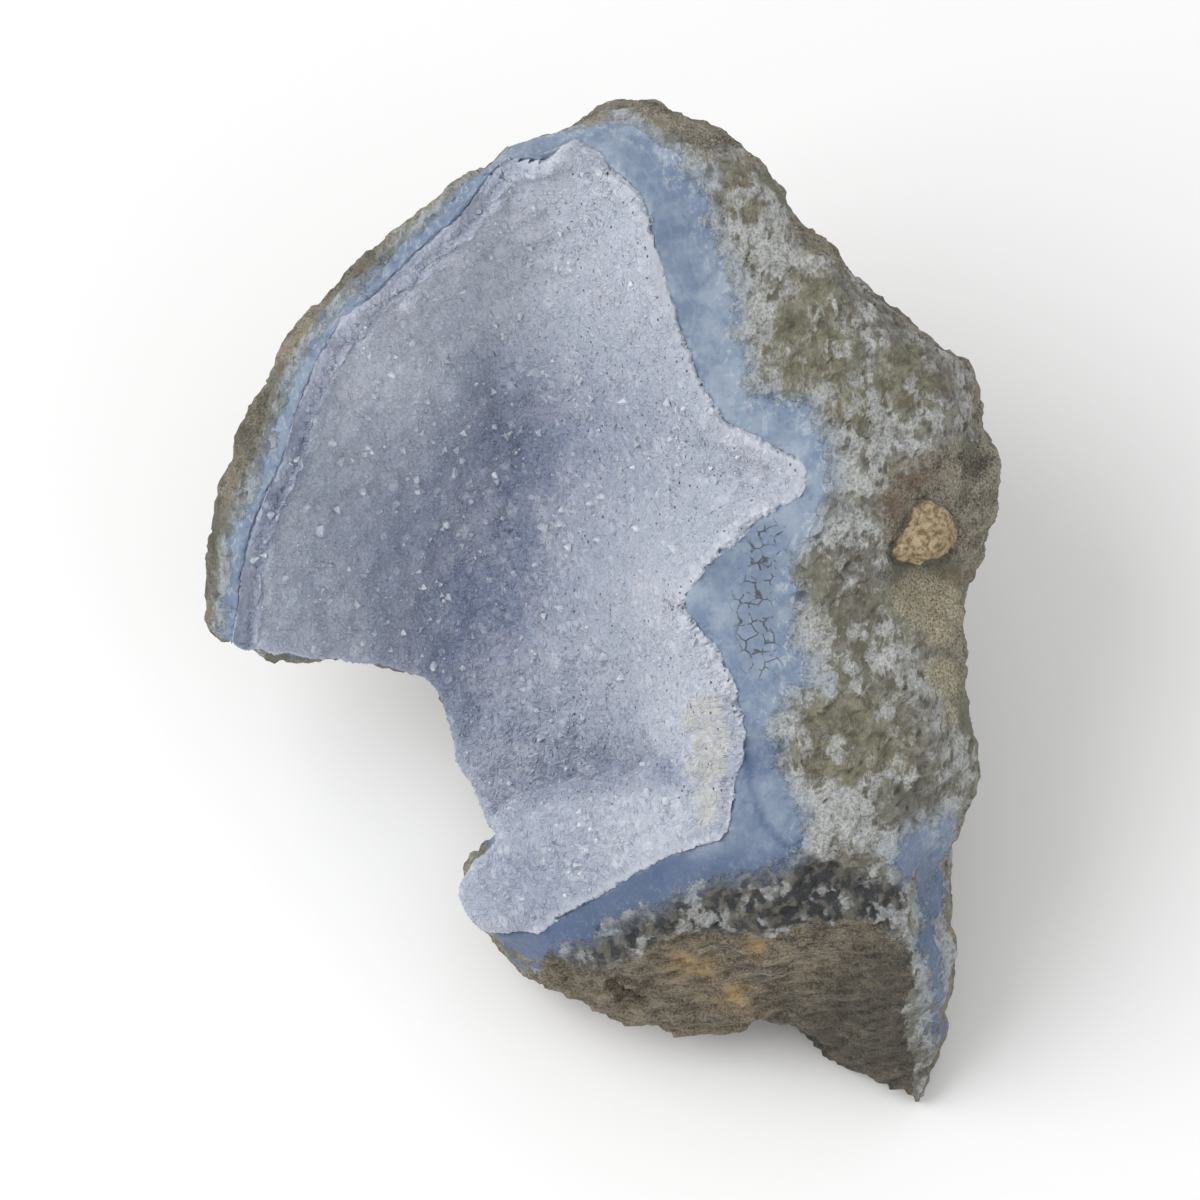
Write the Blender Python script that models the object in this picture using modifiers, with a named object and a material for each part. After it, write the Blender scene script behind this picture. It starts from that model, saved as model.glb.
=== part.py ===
"""Blue lace agate geode: a broken piece of a geode, lying on its back.

The stone is modelled face up. X runs to the right along the broken face, Y runs up it, and Z stands
out of it. At the end the whole is tipped back and set down on the small flat spot of its underside.

geode_rock     the stone: host rock with the blue chalcedony that grew on it
crystal_crust  the druse: quartz crystals that line the hollow and roll over its lower lip
"""

import math
import random

import bmesh
import bpy
import numpy as np
from mathutils import Matrix, Vector, noise

MM = 0.001
WELD = 0.01  # millimetres within which two points are one

# Driving dimensions, in millimetres unless the name says otherwise

# How it lies
FACE_TILT_DEG = 25.0  # how far the broken face leans forward from level
REST_DEPTH = 66.0  # from the face's origin straight down to the flat spot

# The crust of crystals
CRUST_THICKNESS = 1.5
CRUST_GAP = 0.3  # clearance between the stone and its crust
LIP_DEPTH = 1.0  # how far the crust's surface on the lip lies under the face
CRYSTAL_JITTER = 0.5  # how unevenly the crystals' feet are spread
CRYSTAL_HEIGHT = (0.15, 0.5)  # least and most height of a crystal, as a share of its width
CRYSTAL_LEAN = 0.2  # how far a point sits off its foot's centre, as a share of its width
HOLLOW_CRYSTALS = 2100  # over the whole closed form of the hollow, of which the top is cut away
SEED = 7

# Relief of the stone: size and height of each
LUMP_SIZE, LUMP_HEIGHT = 17.0, 2.6  # broad lumps of the weathered skin
KNOB_SIZE, KNOB_HEIGHT = 9.0, 2.4  # small knobs on them
KNOB_SPACING = 0.3  # share of a knob's size from its middle to where it sinks under the skin
STEP_SIZE, STEP_HEIGHT = 9.0, 0.9  # steps and ridges on the broken face
STEP_OCTAVES = 2
WORN_FROM, WORN_OVER = 1.5, 5.0  # depth under the break where the skin starts, and its fade

# How finely the surfaces are built
SHEET_REACH, SHEET_CELL = 82.0, 2.5  # half width of a sheet, and the spacing of its points
PRISM_HALF_LENGTH = 120.0
THINNEST_WALL = 6.0  # least thickness of a sheet of stone
SPACE_TOP = 25.0  # how far the hollow's form stands out of the face, for a clean cut
ROCK_CELL, ROCK_SMOOTHING, ROCK_TRIANGLES = 1.6, 2, 3600
HOLLOW_CELL, HOLLOW_SMOOTHING, BED_TRIANGLES = 2.0, 4, 1300

# Outline of the stone seen square to its broken face, clockwise from the top
STONE_OUTLINE = [
    (3.0, 76.5), (8.1, 74.5), (14.2, 73.0), (18.6, 71.4), (21.3, 68.5), (25.2, 66.3),
    (27.9, 63.5), (29.2, 60.3), (36.2, 52.0), (44.1, 44.4), (52.0, 37.5), (55.2, 35.2),
    (56.5, 31.8), (57.8, 27.0), (60.0, 21.0), (60.3, 13.3), (58.6, 6.3), (55.8, -1.2),
    (54.9, -3.9), (56.2, -9.2), (55.7, -13.2), (56.7, -25.5), (56.2, -29.0), (53.9, -33.9),
    (53.4, -37.2), (53.9, -42.0), (53.2, -48.8), (53.7, -59.0), (52.7, -65.2), (51.9, -74.5),
    (48.9, -78.4), (45.4, -75.4), (36.3, -69.6), (28.5, -64.7), (21.5, -66.0), (15.3, -67.5),
    (9.9, -64.7), (8.2, -63.0), (1.7, -63.0), (-4.2, -60.1), (-9.6, -58.1), (-12.9, -54.8),
    (-18.2, -49.8), (-22.3, -43.8), (-19.1, -39.6), (-14.5, -36.0), (-18.5, -31.0),
    (-22.3, -22.7), (-24.4, -15.4), (-25.2, -13.4), (-30.6, -12.3), (-38.3, -10.2),
    (-46.2, -9.6), (-54.6, -7.5), (-58.1, -5.0), (-60.0, 0.1), (-60.2, 3.9), (-58.5, 12.0),
    (-57.6, 19.5), (-54.6, 24.3), (-54.0, 28.8), (-49.2, 35.3), (-47.0, 38.6), (-45.8, 42.8),
    (-41.0, 45.8), (-39.5, 49.0), (-33.0, 53.3), (-26.9, 58.5), (-25.1, 60.8), (-18.9, 63.9),
    (-13.5, 69.2), (-5.1, 71.1), (-2.9, 73.4),
]

# Mouth of the deep hollow. It runs out past the stone's open lower left end.
BOWL_OUTLINE = [
    (-3.6, 76.0), (-1.2, 76.0), (-1.5, 68.7), (0.0, 66.8), (0.8, 63.9), (3.6, 63.9),
    (6.8, 59.6), (8.1, 52.1), (9.6, 46.4), (12.5, 39.3), (15.2, 31.4), (17.4, 27.5),
    (24.0, 23.4), (30.5, 20.9), (30.9, 16.4), (24.8, 12.9), (20.0, 8.9), (16.1, 5.9),
    (12.9, 2.3), (11.7, -0.8), (13.5, -3.9), (16.1, -6.9), (16.8, -10.2), (15.0, -13.5),
    (12.9, -15.8), (11.6, -18.9), (13.5, -21.8), (13.1, -25.8), (5.6, -28.7), (1.2, -29.6),
    (-7.2, -31.2), (-10.8, -32.6), (-14.5, -36.0), (-26.0, -34.0), (-30.0, -24.0),
    (-34.0, -19.0), (-59.0, -15.0), (-55.4, -6.8), (-54.2, 3.9), (-53.5, 9.0), (-50.4, 16.0),
    (-46.4, 24.2), (-46.2, 27.5), (-43.2, 34.7), (-41.1, 38.9), (-38.2, 42.5), (-33.6, 46.5),
    (-26.0, 54.0), (-21.8, 57.0), (-16.4, 64.2), (-14.6, 66.6), (-10.4, 66.2), (-7.8, 66.0),
    (-4.8, 68.1),
]

# Below this the hollow's mouth is the crest of its lip, from which the hollow drops away sheer
CREST_TOP = -24

# The lower lip, where the crust rolls over on to the face, with the thick strip beside the hollow
LIP_OUTLINE = [
    (15.6, -6.9), (18.2, -8.3), (19.2, -11.4), (20.7, -15.0), (21.8, -21.5), (19.7, -28.5),
    (19.2, -35.7), (15.2, -36.6), (10.4, -37.8), (8.3, -39.6), (4.7, -41.4), (1.2, -43.8),
    (-2.4, -46.2), (-5.9, -47.6), (-9.9, -50.9), (-13.8, -50.0), (-20.0, -56.0), (-30.0, -44.0),
    (-18.0, -35.5), (-14.0, -35.2), (-10.8, -32.0), (-7.2, -30.6), (1.2, -29.0), (5.6, -28.1),
    (12.5, -25.2), (12.8, -21.8), (11.0, -18.9), (12.3, -15.8), (14.5, -13.5), (16.2, -10.2),
]

# The front of the stone is the lowest of four sheets, each smooth, which meet in its edges.
# Each is given by heights on it: x, y, z.
BREAK_HEIGHTS = [
    # flat right half of the break
    (0, 67, -3), (6, 69, -4), (12, 63, -2), (15, 54, 0), (24, 51, -2), (18, 40, 0),
    (31, 40, -1), (24, 27, 0), (37, 27, 0), (45, 30, -3), (33, 15, 1), (42, 12, -1),
    (21, 0, 2), (30, -3, 1), (40, -6, 0), (24, -15, 1), (34, -21, 2), (45, -24, -1),
    (25, -30, 0), (37, -35, 0), (45, -40, -2), (18, -39, -1), (30, -42, -2),
    # lower lip
    (-21, -44, -17), (-14, -36, -12), (-7, -31, -9), (1, -29, -7), (13, -27, -4),
    (-15, -44, -14), (-7, -41, -10), (0, -38, -7), (8, -35, -4), (15, -33, -2),
    (-10, -51, -15), (-2, -46, -10), (5, -42, -6), (10, -38, -3), (15, -47, -6), (36, -46, -5),
    (46, -46, -5), (6, -47, -9), (-3, -51, -13),
    # thin left wall, from its outer edge in to the hollow
    (-60, 2, -20), (-57, 20, -18), (-54, 29, -16), (-46, 43, -15), (-33, 53, -13),
    (-25, 61, -12), (-13, 69, -7), (-5, 71, -8), (-55, -3, -14), (-53, 9, -12), (-46, 26, -9),
    (-42, 38, -8), (-37, 43, -7), (-26, 54, -6), (-16, 64, -5), (-10, 66, -4), (-4, 69, -3),
]
SKIN_HEIGHTS = [
    # its edge along the break, top to bottom
    (-3, 71, -5), (6, 72, -5), (14, 70, -4), (22, 65, -3), (28, 56, -2), (35, 49, -2),
    (42, 41, -2), (49, 33, -3), (52, 26, -4), (50, 18, -4), (46, 10, -3), (46, 1, -3),
    (49, -8, -4), (51, -18, -4), (51, -28, -4), (50, -36, -4),
    # its outer edge
    (-3, 74, -14), (4, 77, -16), (14, 74, -14), (26, 67, -14), (37, 53, -14), (45, 45, -15),
    (56, 36, -17), (61, 21, -18), (61, 12, -18), (57, -1, -16), (57, -11, -16),
    (58, -27, -15), (55, -37, -15), (56, 8, -13), (54, -6, -11),
]
FOOT_HEIGHTS = [
    # edge under the break
    (-17, -48, -16), (-9, -53, -15), (-2, -54, -13), (6, -52, -10), (13, -49.5, -8),
    (24, -50, -7), (35, -48.5, -6), (43, -48, -6), (47, -53, -8),
    # half way down
    (6, -58, -20), (15, -58, -18), (24, -60, -19), (33, -60, -19), (42, -60, -17),
    (-8, -56, -21),
    # lowest edge
    (-19, -50, -22), (-14, -55, -25), (-10, -59, -28), (2, -64, -31), (9, -64, -31),
    (15, -68, -35), (22, -66, -32), (29, -65, -29), (37, -70, -31), (46, -75, -32),
    (49, -78, -32),
]
CORNER_HEIGHTS = [
    # edge that it shares with the foot
    (45, -44, -3), (46.5, -53, -8), (46.2, -60, -16), (46.2, -65, -22), (48.5, -76, -31),
    # outer edge
    (54, -40, -16), (53.5, -49, -20), (54, -59, -24), (53, -65, -27), (52, -74, -31),
]

# Heights of the hollow's floor under the crust, away from its rim: x, y, z
BOWL_HEIGHTS = [
    # upper valley
    (-9, 60, -12), (-12, 55, -18), (-15, 51, -22), (-20, 52, -16), (0, 58, -10), (0, 51, -14),
    (-6, 50, -20), (-16, 39, -31), (-24, 45, -21), (-30, 43, -18), (-6, 38, -27), (4, 39, -16),
    # low ridge between the two lobes of the left wall
    (-38, 38, -13), (-33, 35, -18), (-26, 33, -24), (-20, 29, -32),
    # deepest line, down to the open end
    (-12, 24, -40), (-14, 10, -43), (-19, -6, -46), (-23, -12, -47), (-22, -21, -49),
    (-17, -29, -49), (-13, -33, -49),
    # right wall
    (0, 30, -28), (9, 27, -17), (18, 19, -10), (26, 18, -6), (0, 18, -31), (9, 12, -20),
    (0, 6, -33), (6, 0, -24), (9, -6, -20), (0, -6, -35), (-6, -15, -43), (5, -15, -33),
    (9, -15, -24), (-5, -25, -46), (4, -24, -40), (9, -23, -28),
    # lower lobe of the left wall
    (-50, 6, -20), (-45, 0, -27), (-38, 6, -32), (-38, -6, -35), (-30, 6, -40), (-28, -9, -45),
    (-45, 18, -20), (-38, 22, -25), (-31, 18, -34), (-23, 12, -42), (-27, 27, -29),
    (-41, 30, -17), (-47, -7, -27), (-52, -5, -20), (-56, -12, -17),
    # past the open end
    (-40, -16, -40), (-30, -18, -47), (-28, -30, -51),
]

# Heights of the underside: x, y, z
BACK_HEIGHTS = [
    # its edge, clockwise from the top
    (3, 76, -28), (14, 73, -31), (25, 66, -32), (36, 52, -33), (52, 38, -34), (60, 21, -36),
    (60, 12, -37), (56, -1, -40), (56, -13, -41), (57, -27, -40), (53, -37, -40),
    (53, -50, -40), (53, -62, -38), (50, -75, -35), (40, -71, -38), (28, -65, -40),
    (15, -67, -40), (2, -63, -41), (-10, -58, -40), (-18, -50, -37), (-22, -44, -34),
    (-15, -36, -57), (-22, -23, -56), (-25, -13, -55), (-38, -10, -45), (-46, -9, -38),
    (-55, -7, -30), (-60, 2, -28), (-57, 20, -26), (-54, 29, -25), (-46, 43, -24),
    (-33, 53, -23), (-25, 61, -21), (-13, 69, -20), (-5, 71, -23),
    # left wall, about ten millimetres behind the hollow
    (-45, 15, -36), (-40, 30, -32), (-30, 20, -47), (-33, 0, -47), (-30, 42, -32),
    (-20, 52, -32), (-20, 36, -44), (-15, 20, -54), (-18, 3, -56), (-5, 60, -33),
    # thick right half
    (5, 50, -42), (15, 58, -38), (25, 45, -44), (42, 32, -44), (0, 35, -52), (15, 30, -54),
    (0, 15, -60), (30, 15, -57), (45, 12, -50), (0, -3, -64), (15, 0, -66), (35, -3, -60),
    (45, -12, -52), (0, -18, -65), (15, -15, -68), (30, -15, -65), (42, -28, -56),
    (0, -32, -60), (15, -30, -62), (30, -30, -60), (0, -45, -52), (15, -45, -53),
    (30, -48, -51), (42, -48, -46), (-10, -45, -50), (20, -57, -45),
]

# Clast of tan rock held in the worn skin: middle, half lengths and turn about Z
CLAST_MIDDLE, CLAST_HALVES, CLAST_TURN_DEG = (49.3, 9.9, -5.0), (5.8, 4.2, 4.0), 48.0


def clear_scene():
    for obj in list(bpy.data.objects):
        bpy.data.objects.remove(obj)


def collection_named(name):
    found = bpy.data.collections.new(name)
    bpy.context.scene.collection.children.link(found)
    return found


def add_object(name, mesh, collection):
    obj = bpy.data.objects.new(name, mesh)
    collection.objects.link(obj)
    return obj


def finish_bmesh(bm, name, collection):
    """The bmesh as a new object with its faces pointing out."""
    bmesh.ops.recalc_face_normals(bm, faces=bm.faces)
    mesh = bpy.data.meshes.new(name)
    bm.to_mesh(mesh)
    bm.free()
    return add_object(name, mesh, collection)


def sheet_through(heights):
    """Smooth thin-plate sheet through (x, y, z) points, as a function of arrays x and y."""
    points = np.array(heights, float)
    places, count = points[:, :2], len(points)

    def bending(distance):
        return distance**2 * np.log(distance + 1e-9)

    system = np.zeros((count + 3, count + 3))
    system[:count, :count] = bending(np.linalg.norm(places[:, None] - places[None], axis=2))
    system[:count, count] = 1
    system[:count, count + 1 :] = places
    system[count:, :count] = system[:count, count:].T
    weights = np.linalg.solve(system, np.append(points[:, 2], [0, 0, 0]))

    def height(x, y):
        at = np.stack([x, y], axis=1)
        bends = bending(np.linalg.norm(at[:, None] - places[None], axis=2))
        return bends @ weights[:count] + weights[count] + at @ weights[count + 1 :]

    return height


def slab(name, low, high, collection):
    """Closed slab wider than the stone, from the sheet low up to the sheet high."""
    cells = round(2 * SHEET_REACH / SHEET_CELL)
    bm = bmesh.new()
    bmesh.ops.create_grid(bm, x_segments=cells, y_segments=cells, size=SHEET_REACH)
    lower = list(bm.verts)
    made = bmesh.ops.extrude_face_region(bm, geom=bm.faces[:])["geom"]
    upper = [item for item in made if isinstance(item, bmesh.types.BMVert)]
    for verts, level in ((lower, low), (upper, high)):
        x = np.array([vert.co.x for vert in verts])
        y = np.array([vert.co.y for vert in verts])
        for vert, z in zip(verts, level(x, y)):
            vert.co.z = z
    bmesh.ops.scale(bm, vec=(MM, MM, MM), verts=bm.verts)
    return finish_bmesh(bm, name, collection)


def prism(name, outline, collection):
    """Straight-sided block with this outline, standing through the whole stone."""
    curve = bpy.data.curves.new(name, "CURVE")
    curve.dimensions = "2D"
    curve.fill_mode = "BOTH"
    curve.extrude = PRISM_HALF_LENGTH * MM
    spline = curve.splines.new("POLY")
    spline.points.add(len(outline) - 1)
    for point, (x, y) in zip(spline.points, outline):
        point.co = (x * MM, y * MM, 0, 1)
    spline.use_cyclic_u = True
    flat = bpy.data.objects.new(name, curve)
    collection.objects.link(flat)
    mesh = evaluated_mesh(flat)
    bpy.data.objects.remove(flat)
    bm = bmesh.new()
    bm.from_mesh(mesh)
    bmesh.ops.remove_doubles(bm, verts=bm.verts, dist=WELD * MM)
    return finish_bmesh(bm, name, collection)


def evaluated_mesh(obj):
    """A copy of the object's mesh with its modifiers worked in."""
    graph = bpy.context.evaluated_depsgraph_get()
    graph.update()
    return bpy.data.meshes.new_from_object(obj.evaluated_get(graph))


def apply_modifiers(obj):
    obj.data = evaluated_mesh(obj)
    obj.modifiers.clear()


def boolean(obj, operation, other):
    """Cuts or joins obj with other, which stays as it is."""
    modifier = obj.modifiers.new(operation.title(), "BOOLEAN")
    modifier.operation = operation
    modifier.solver = "EXACT"
    modifier.object = other
    apply_modifiers(obj)


def remesh(obj, cell, smoothing):
    """An even skin of square faces over all that obj's mesh holds, then softened."""
    skin = obj.modifiers.new("Remesh", "REMESH")
    skin.mode = "VOXEL"
    skin.voxel_size = cell * MM
    soften = obj.modifiers.new("Smooth", "SMOOTH")
    soften.factor = 0.5
    soften.iterations = smoothing
    apply_modifiers(obj)


def join_into(obj, other):
    """Puts other's faces in obj's mesh, for a remesh to fuse them, and removes other."""
    bm = bmesh.new()
    bm.from_mesh(obj.data)
    bm.from_mesh(other.data)
    bm.to_mesh(obj.data)
    bm.free()
    bpy.data.objects.remove(other)


def clast(collection):
    """The tan clast, an egg of rock half sunk in the worn skin."""
    bm = bmesh.new()
    place = (
        Matrix.Translation(Vector(CLAST_MIDDLE))
        @ Matrix.Rotation(math.radians(CLAST_TURN_DEG), 4, "Z")
        @ Matrix.Diagonal((*CLAST_HALVES, 1))
    )
    bmesh.ops.create_icosphere(bm, subdivisions=3, radius=1, matrix=place)
    bmesh.ops.scale(bm, vec=(MM, MM, MM), verts=bm.verts)
    return finish_bmesh(bm, "clast", collection)


def roughen(obj, fresh_break):
    """Lumps and knobs on the worn skin, and lower, sharper steps on the broken face."""
    bm = bmesh.new()
    bm.from_mesh(obj.data)
    bm.normal_update()
    points = np.array([vert.co for vert in bm.verts]) / MM
    depths = fresh_break(points[:, 0], points[:, 1]) - points[:, 2]
    for vert, point, depth in zip(bm.verts, points, depths):
        worn = min(max((depth - WORN_FROM) / WORN_OVER, 0), 1)
        at = Vector(point)
        lumps = LUMP_HEIGHT * noise.noise(at / LUMP_SIZE)
        knobs = KNOB_HEIGHT * (KNOB_SPACING - noise.voronoi(at / KNOB_SIZE)[0][0])
        steps = STEP_HEIGHT * (noise.ridged_multi_fractal(at / STEP_SIZE, 1, 2, STEP_OCTAVES, 1, 2) - 1)
        vert.co += vert.normal * (worn * (lumps + knobs) + (1 - worn) * steps) * MM
    bm.to_mesh(obj.data)
    bm.free()


def thin_out(obj, triangles):
    """Leaves about this many triangles, small where the surface bends and large where it is flat."""
    fewer = obj.modifiers.new("Decimate", "DECIMATE")
    fewer.ratio = triangles / sum(len(face.vertices) - 2 for face in obj.data.polygons)
    fewer.use_collapse_triangulate = True
    apply_modifiers(obj)


def cut_flat_spot(obj):
    """Slices off what would hang below the level the stone rests on."""
    down = Matrix.Rotation(math.radians(-FACE_TILT_DEG), 3, "X") @ Vector((0, 0, -1))
    bm = bmesh.new()
    bm.from_mesh(obj.data)
    sliced = bmesh.ops.bisect_plane(
        bm,
        geom=bm.verts[:] + bm.edges[:] + bm.faces[:],
        plane_co=down * REST_DEPTH * MM,
        plane_no=down,
        clear_outer=True,
    )
    rim = [item for item in sliced["geom_cut"] if isinstance(item, bmesh.types.BMEdge)]
    bmesh.ops.holes_fill(bm, edges=rim)
    bm.to_mesh(obj.data)
    bm.free()


def lowest_of(*sheets):
    """The sheet that is the lowest of these at each place."""

    def height(x, y):
        return np.min([sheet(x, y) for sheet in sheets], axis=0)

    return height


def rough_stone(face, fresh_break, collection):
    """The whole stone as if the hollow were filled in."""
    underside = sheet_through(BACK_HEIGHTS)

    def back(x, y):
        return np.minimum(underside(x, y), face(x, y) - THINNEST_WALL)

    stone = slab("geode_rock", back, face, collection)
    boolean(stone, "INTERSECT", prism("stone outline", STONE_OUTLINE, collection))
    join_into(stone, clast(collection))
    remesh(stone, ROCK_CELL, ROCK_SMOOTHING)
    roughen(stone, fresh_break)
    thin_out(stone, ROCK_TRIANGLES)
    cut_flat_spot(stone)
    return stone


def hollow_space(face, collection):
    """The space of the hollow and of the recess for the crust on its lip, as one closed form."""

    def recess(x, y):
        return face(x, y) - LIP_DEPTH - CRUST_THICKNESS - CRUST_GAP

    def level_top(x, y):
        return np.full(len(x), SPACE_TOP)

    rim = np.array([(x, y) for x, y in BOWL_OUTLINE if y > CREST_TOP and inside((x, y), STONE_OUTLINE)])
    rim_heights = np.column_stack([rim, recess(*rim.T)])
    bowl_sheet = sheet_through(BOWL_HEIGHTS + rim_heights.tolist())

    def bowl_floor(x, y):
        return np.minimum(bowl_sheet(x, y), SPACE_TOP - THINNEST_WALL)

    bowl = slab("hollow", bowl_floor, level_top, collection)
    boolean(bowl, "INTERSECT", prism("bowl outline", BOWL_OUTLINE, collection))
    lip = slab("lip", recess, level_top, collection)
    boolean(lip, "INTERSECT", prism("lip outline", LIP_OUTLINE, collection))
    join_into(bowl, lip)
    remesh(bowl, HOLLOW_CELL, HOLLOW_SMOOTHING)
    return bowl


def inside(point, outline):
    """True if the point lies within the outline, by counting its sides to the right."""
    x, y = point
    crossings = 0
    for (ax, ay), (bx, by) in zip(outline, outline[1:] + outline[:1]):
        if (ay > y) != (by > y) and x < ax + (y - ay) * (bx - ax) / (by - ay):
            crossings += 1
    return crossings % 2 == 1


def inset_copy(name, obj, distance, collection):
    """A copy of obj drawn in all round by this distance."""
    bm = bmesh.new()
    bm.from_mesh(obj.data)
    bm.normal_update()
    moved = [vert.co - vert.normal * distance * MM for vert in bm.verts]
    for vert, place in zip(bm.verts, moved):
        vert.co = place
    mesh = bpy.data.meshes.new(name)
    bm.to_mesh(mesh)
    bm.free()
    return add_object(name, mesh, collection)


def crystal_crust(hollow, bed, stone, collection):
    """The crust on its bed, cut off flush with the break, its inner side rough with crystals."""
    crust = inset_copy("crystal_crust", bed, CRUST_GAP, collection)
    boolean(crust, "INTERSECT", stone)
    space = inset_copy("space", hollow, CRUST_GAP + CRUST_THICKNESS, collection)
    remesh(space, HOLLOW_CELL, 1)
    grow_crystals(space)
    boolean(crust, "DIFFERENCE", space)
    return crust


def grow_crystals(space):
    """Dents this form with the points of the crystals that stand into it, three-sided as quartz is."""
    draw = random.Random(SEED)
    bm = bmesh.new()
    bm.from_mesh(space.data)
    for vert in bm.verts:
        vert.co += Vector([draw.uniform(-1, 1) for _ in range(3)]) * CRYSTAL_JITTER * MM
    bm.to_mesh(space.data)
    bm.free()
    thin_out(space, HOLLOW_CRYSTALS)
    bm = bmesh.new()
    bm.from_mesh(space.data)
    bm.normal_update()
    faces = list(bm.faces)
    inward = [-face.normal for face in faces]
    widths = [math.sqrt(face.calc_area()) for face in faces]
    tips = bmesh.ops.poke(bm, faces=faces)["verts"]
    for tip, normal, width in zip(tips, inward, widths):
        lean = Vector([draw.uniform(-1, 1) for _ in range(3)]).cross(normal)
        tip.co += (normal * draw.uniform(*CRYSTAL_HEIGHT) + lean * CRYSTAL_LEAN) * width
    bm.to_mesh(space.data)
    bm.free()


def keep_largest(obj):
    """Drops the crumbs that a cut leaves beside the main body."""
    bm = bmesh.new()
    bm.from_mesh(obj.data)
    seen, bodies = set(), []
    for start in bm.verts:
        if start in seen:
            continue
        seen.add(start)
        body, edge = [start], [start]
        while edge:
            vert = edge.pop()
            for link in vert.link_edges:
                other = link.other_vert(vert)
                if other not in seen:
                    seen.add(other)
                    body.append(other)
                    edge.append(other)
        bodies.append(body)
    bodies.sort(key=len)
    for body in bodies[:-1]:
        bmesh.ops.delete(bm, geom=body, context="VERTS")
    bm.to_mesh(obj.data)
    bm.free()


def material(name, color, roughness):
    made = bpy.data.materials.new(name)
    made.use_nodes = True
    shader = made.node_tree.nodes["Principled BSDF"]
    shader.inputs["Base Color"].default_value = (*color, 1)
    shader.inputs["Roughness"].default_value = roughness
    shader.inputs["Metallic"].default_value = 0
    return made


def set_down(objects):
    """Tips the pieces back as the stone lies, and centres their common box over the origin."""
    tip = Matrix.Rotation(math.radians(FACE_TILT_DEG), 4, "X")
    for obj in objects:
        obj.data.transform(tip)
    points = np.array([vert.co for obj in objects for vert in obj.data.vertices])
    low, high = points.min(axis=0), points.max(axis=0)
    place = Vector((-(low[0] + high[0]) / 2, -(low[1] + high[1]) / 2, -low[2]))
    for obj in objects:
        obj.data.transform(Matrix.Translation(place))
        obj.data.update()


def main():
    clear_scene()
    parts = collection_named("Blue lace agate geode")
    cutters = collection_named("Cutters")
    fresh_break = sheet_through(BREAK_HEIGHTS)
    worn_sides = [sheet_through(heights) for heights in (SKIN_HEIGHTS, FOOT_HEIGHTS, CORNER_HEIGHTS)]
    face = lowest_of(fresh_break, *worn_sides)
    stone = rough_stone(face, fresh_break, cutters)
    hollow = hollow_space(face, cutters)
    bed = inset_copy("bed", hollow, 0, cutters)
    thin_out(bed, BED_TRIANGLES)
    crust = crystal_crust(hollow, bed, stone, cutters)
    boolean(stone, "DIFFERENCE", bed)
    for obj in (stone, crust):
        keep_largest(obj)
        cutters.objects.unlink(obj)
        parts.objects.link(obj)
    for obj in cutters.objects:
        obj.hide_render = True
        obj.display_type = "WIRE"
    stone.data.materials.clear()
    stone.data.materials.append(material("rock and blue chalcedony", (0.27, 0.28, 0.27), 0.75))
    crust.data.materials.clear()
    crust.data.materials.append(material("lavender druse", (0.42, 0.44, 0.55), 0.35))
    set_down([stone, crust])


main()
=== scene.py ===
"""A broken blue lace agate geode: a lump of host rock with a hollow full of fine lavender crystals."""

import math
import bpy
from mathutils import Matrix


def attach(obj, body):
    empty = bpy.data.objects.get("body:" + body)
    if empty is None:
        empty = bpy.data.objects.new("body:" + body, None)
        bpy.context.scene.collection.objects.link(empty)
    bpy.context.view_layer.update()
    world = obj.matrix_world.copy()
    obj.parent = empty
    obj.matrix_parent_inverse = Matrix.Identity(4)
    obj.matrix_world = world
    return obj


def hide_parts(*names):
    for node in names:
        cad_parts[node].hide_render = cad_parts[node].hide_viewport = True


bl_info = {
    "name": "Blue lace agate geode",
    "version": (1, 0, 0),
    "blender": (4, 5, 0),
    "location": "3D View > Sidebar > Geode",
    "description": "Dresses the geode's fixed frame with rock, chalcedony and drusy quartz",
    "category": "Object",
}

import bmesh
import bpy
import numpy as np
from bpy.props import FloatProperty, FloatVectorProperty, IntProperty, PointerProperty
from mathutils import Matrix, Vector
from mathutils.bvhtree import BVHTree

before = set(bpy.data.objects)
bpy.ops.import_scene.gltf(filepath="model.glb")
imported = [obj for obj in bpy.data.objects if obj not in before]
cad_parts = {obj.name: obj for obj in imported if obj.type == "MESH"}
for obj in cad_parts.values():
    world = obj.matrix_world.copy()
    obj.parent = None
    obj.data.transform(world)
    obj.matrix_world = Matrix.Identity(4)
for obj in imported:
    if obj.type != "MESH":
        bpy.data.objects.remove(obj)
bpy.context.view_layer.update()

ROCK_NODE = "geode_rock"
CRUST_NODE = "crystal_crust"
MM = 0.001

# The broken face leans this far back from level. Its own axes are u to the right, v up the slope
# and w straight out of it, in millimetres from FACE_ORIGIN.
FACE_TILT = math.radians(25)
FACE_ORIGIN = np.array([-0.087, -12.655, 66.0])
FACE_RIGHT = np.array([1.0, 0.0, 0.0])
FACE_UP = np.array([0.0, math.cos(FACE_TILT), math.sin(FACE_TILT)])
FACE_OUT = np.array([0.0, -math.sin(FACE_TILT), math.cos(FACE_TILT)])

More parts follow.
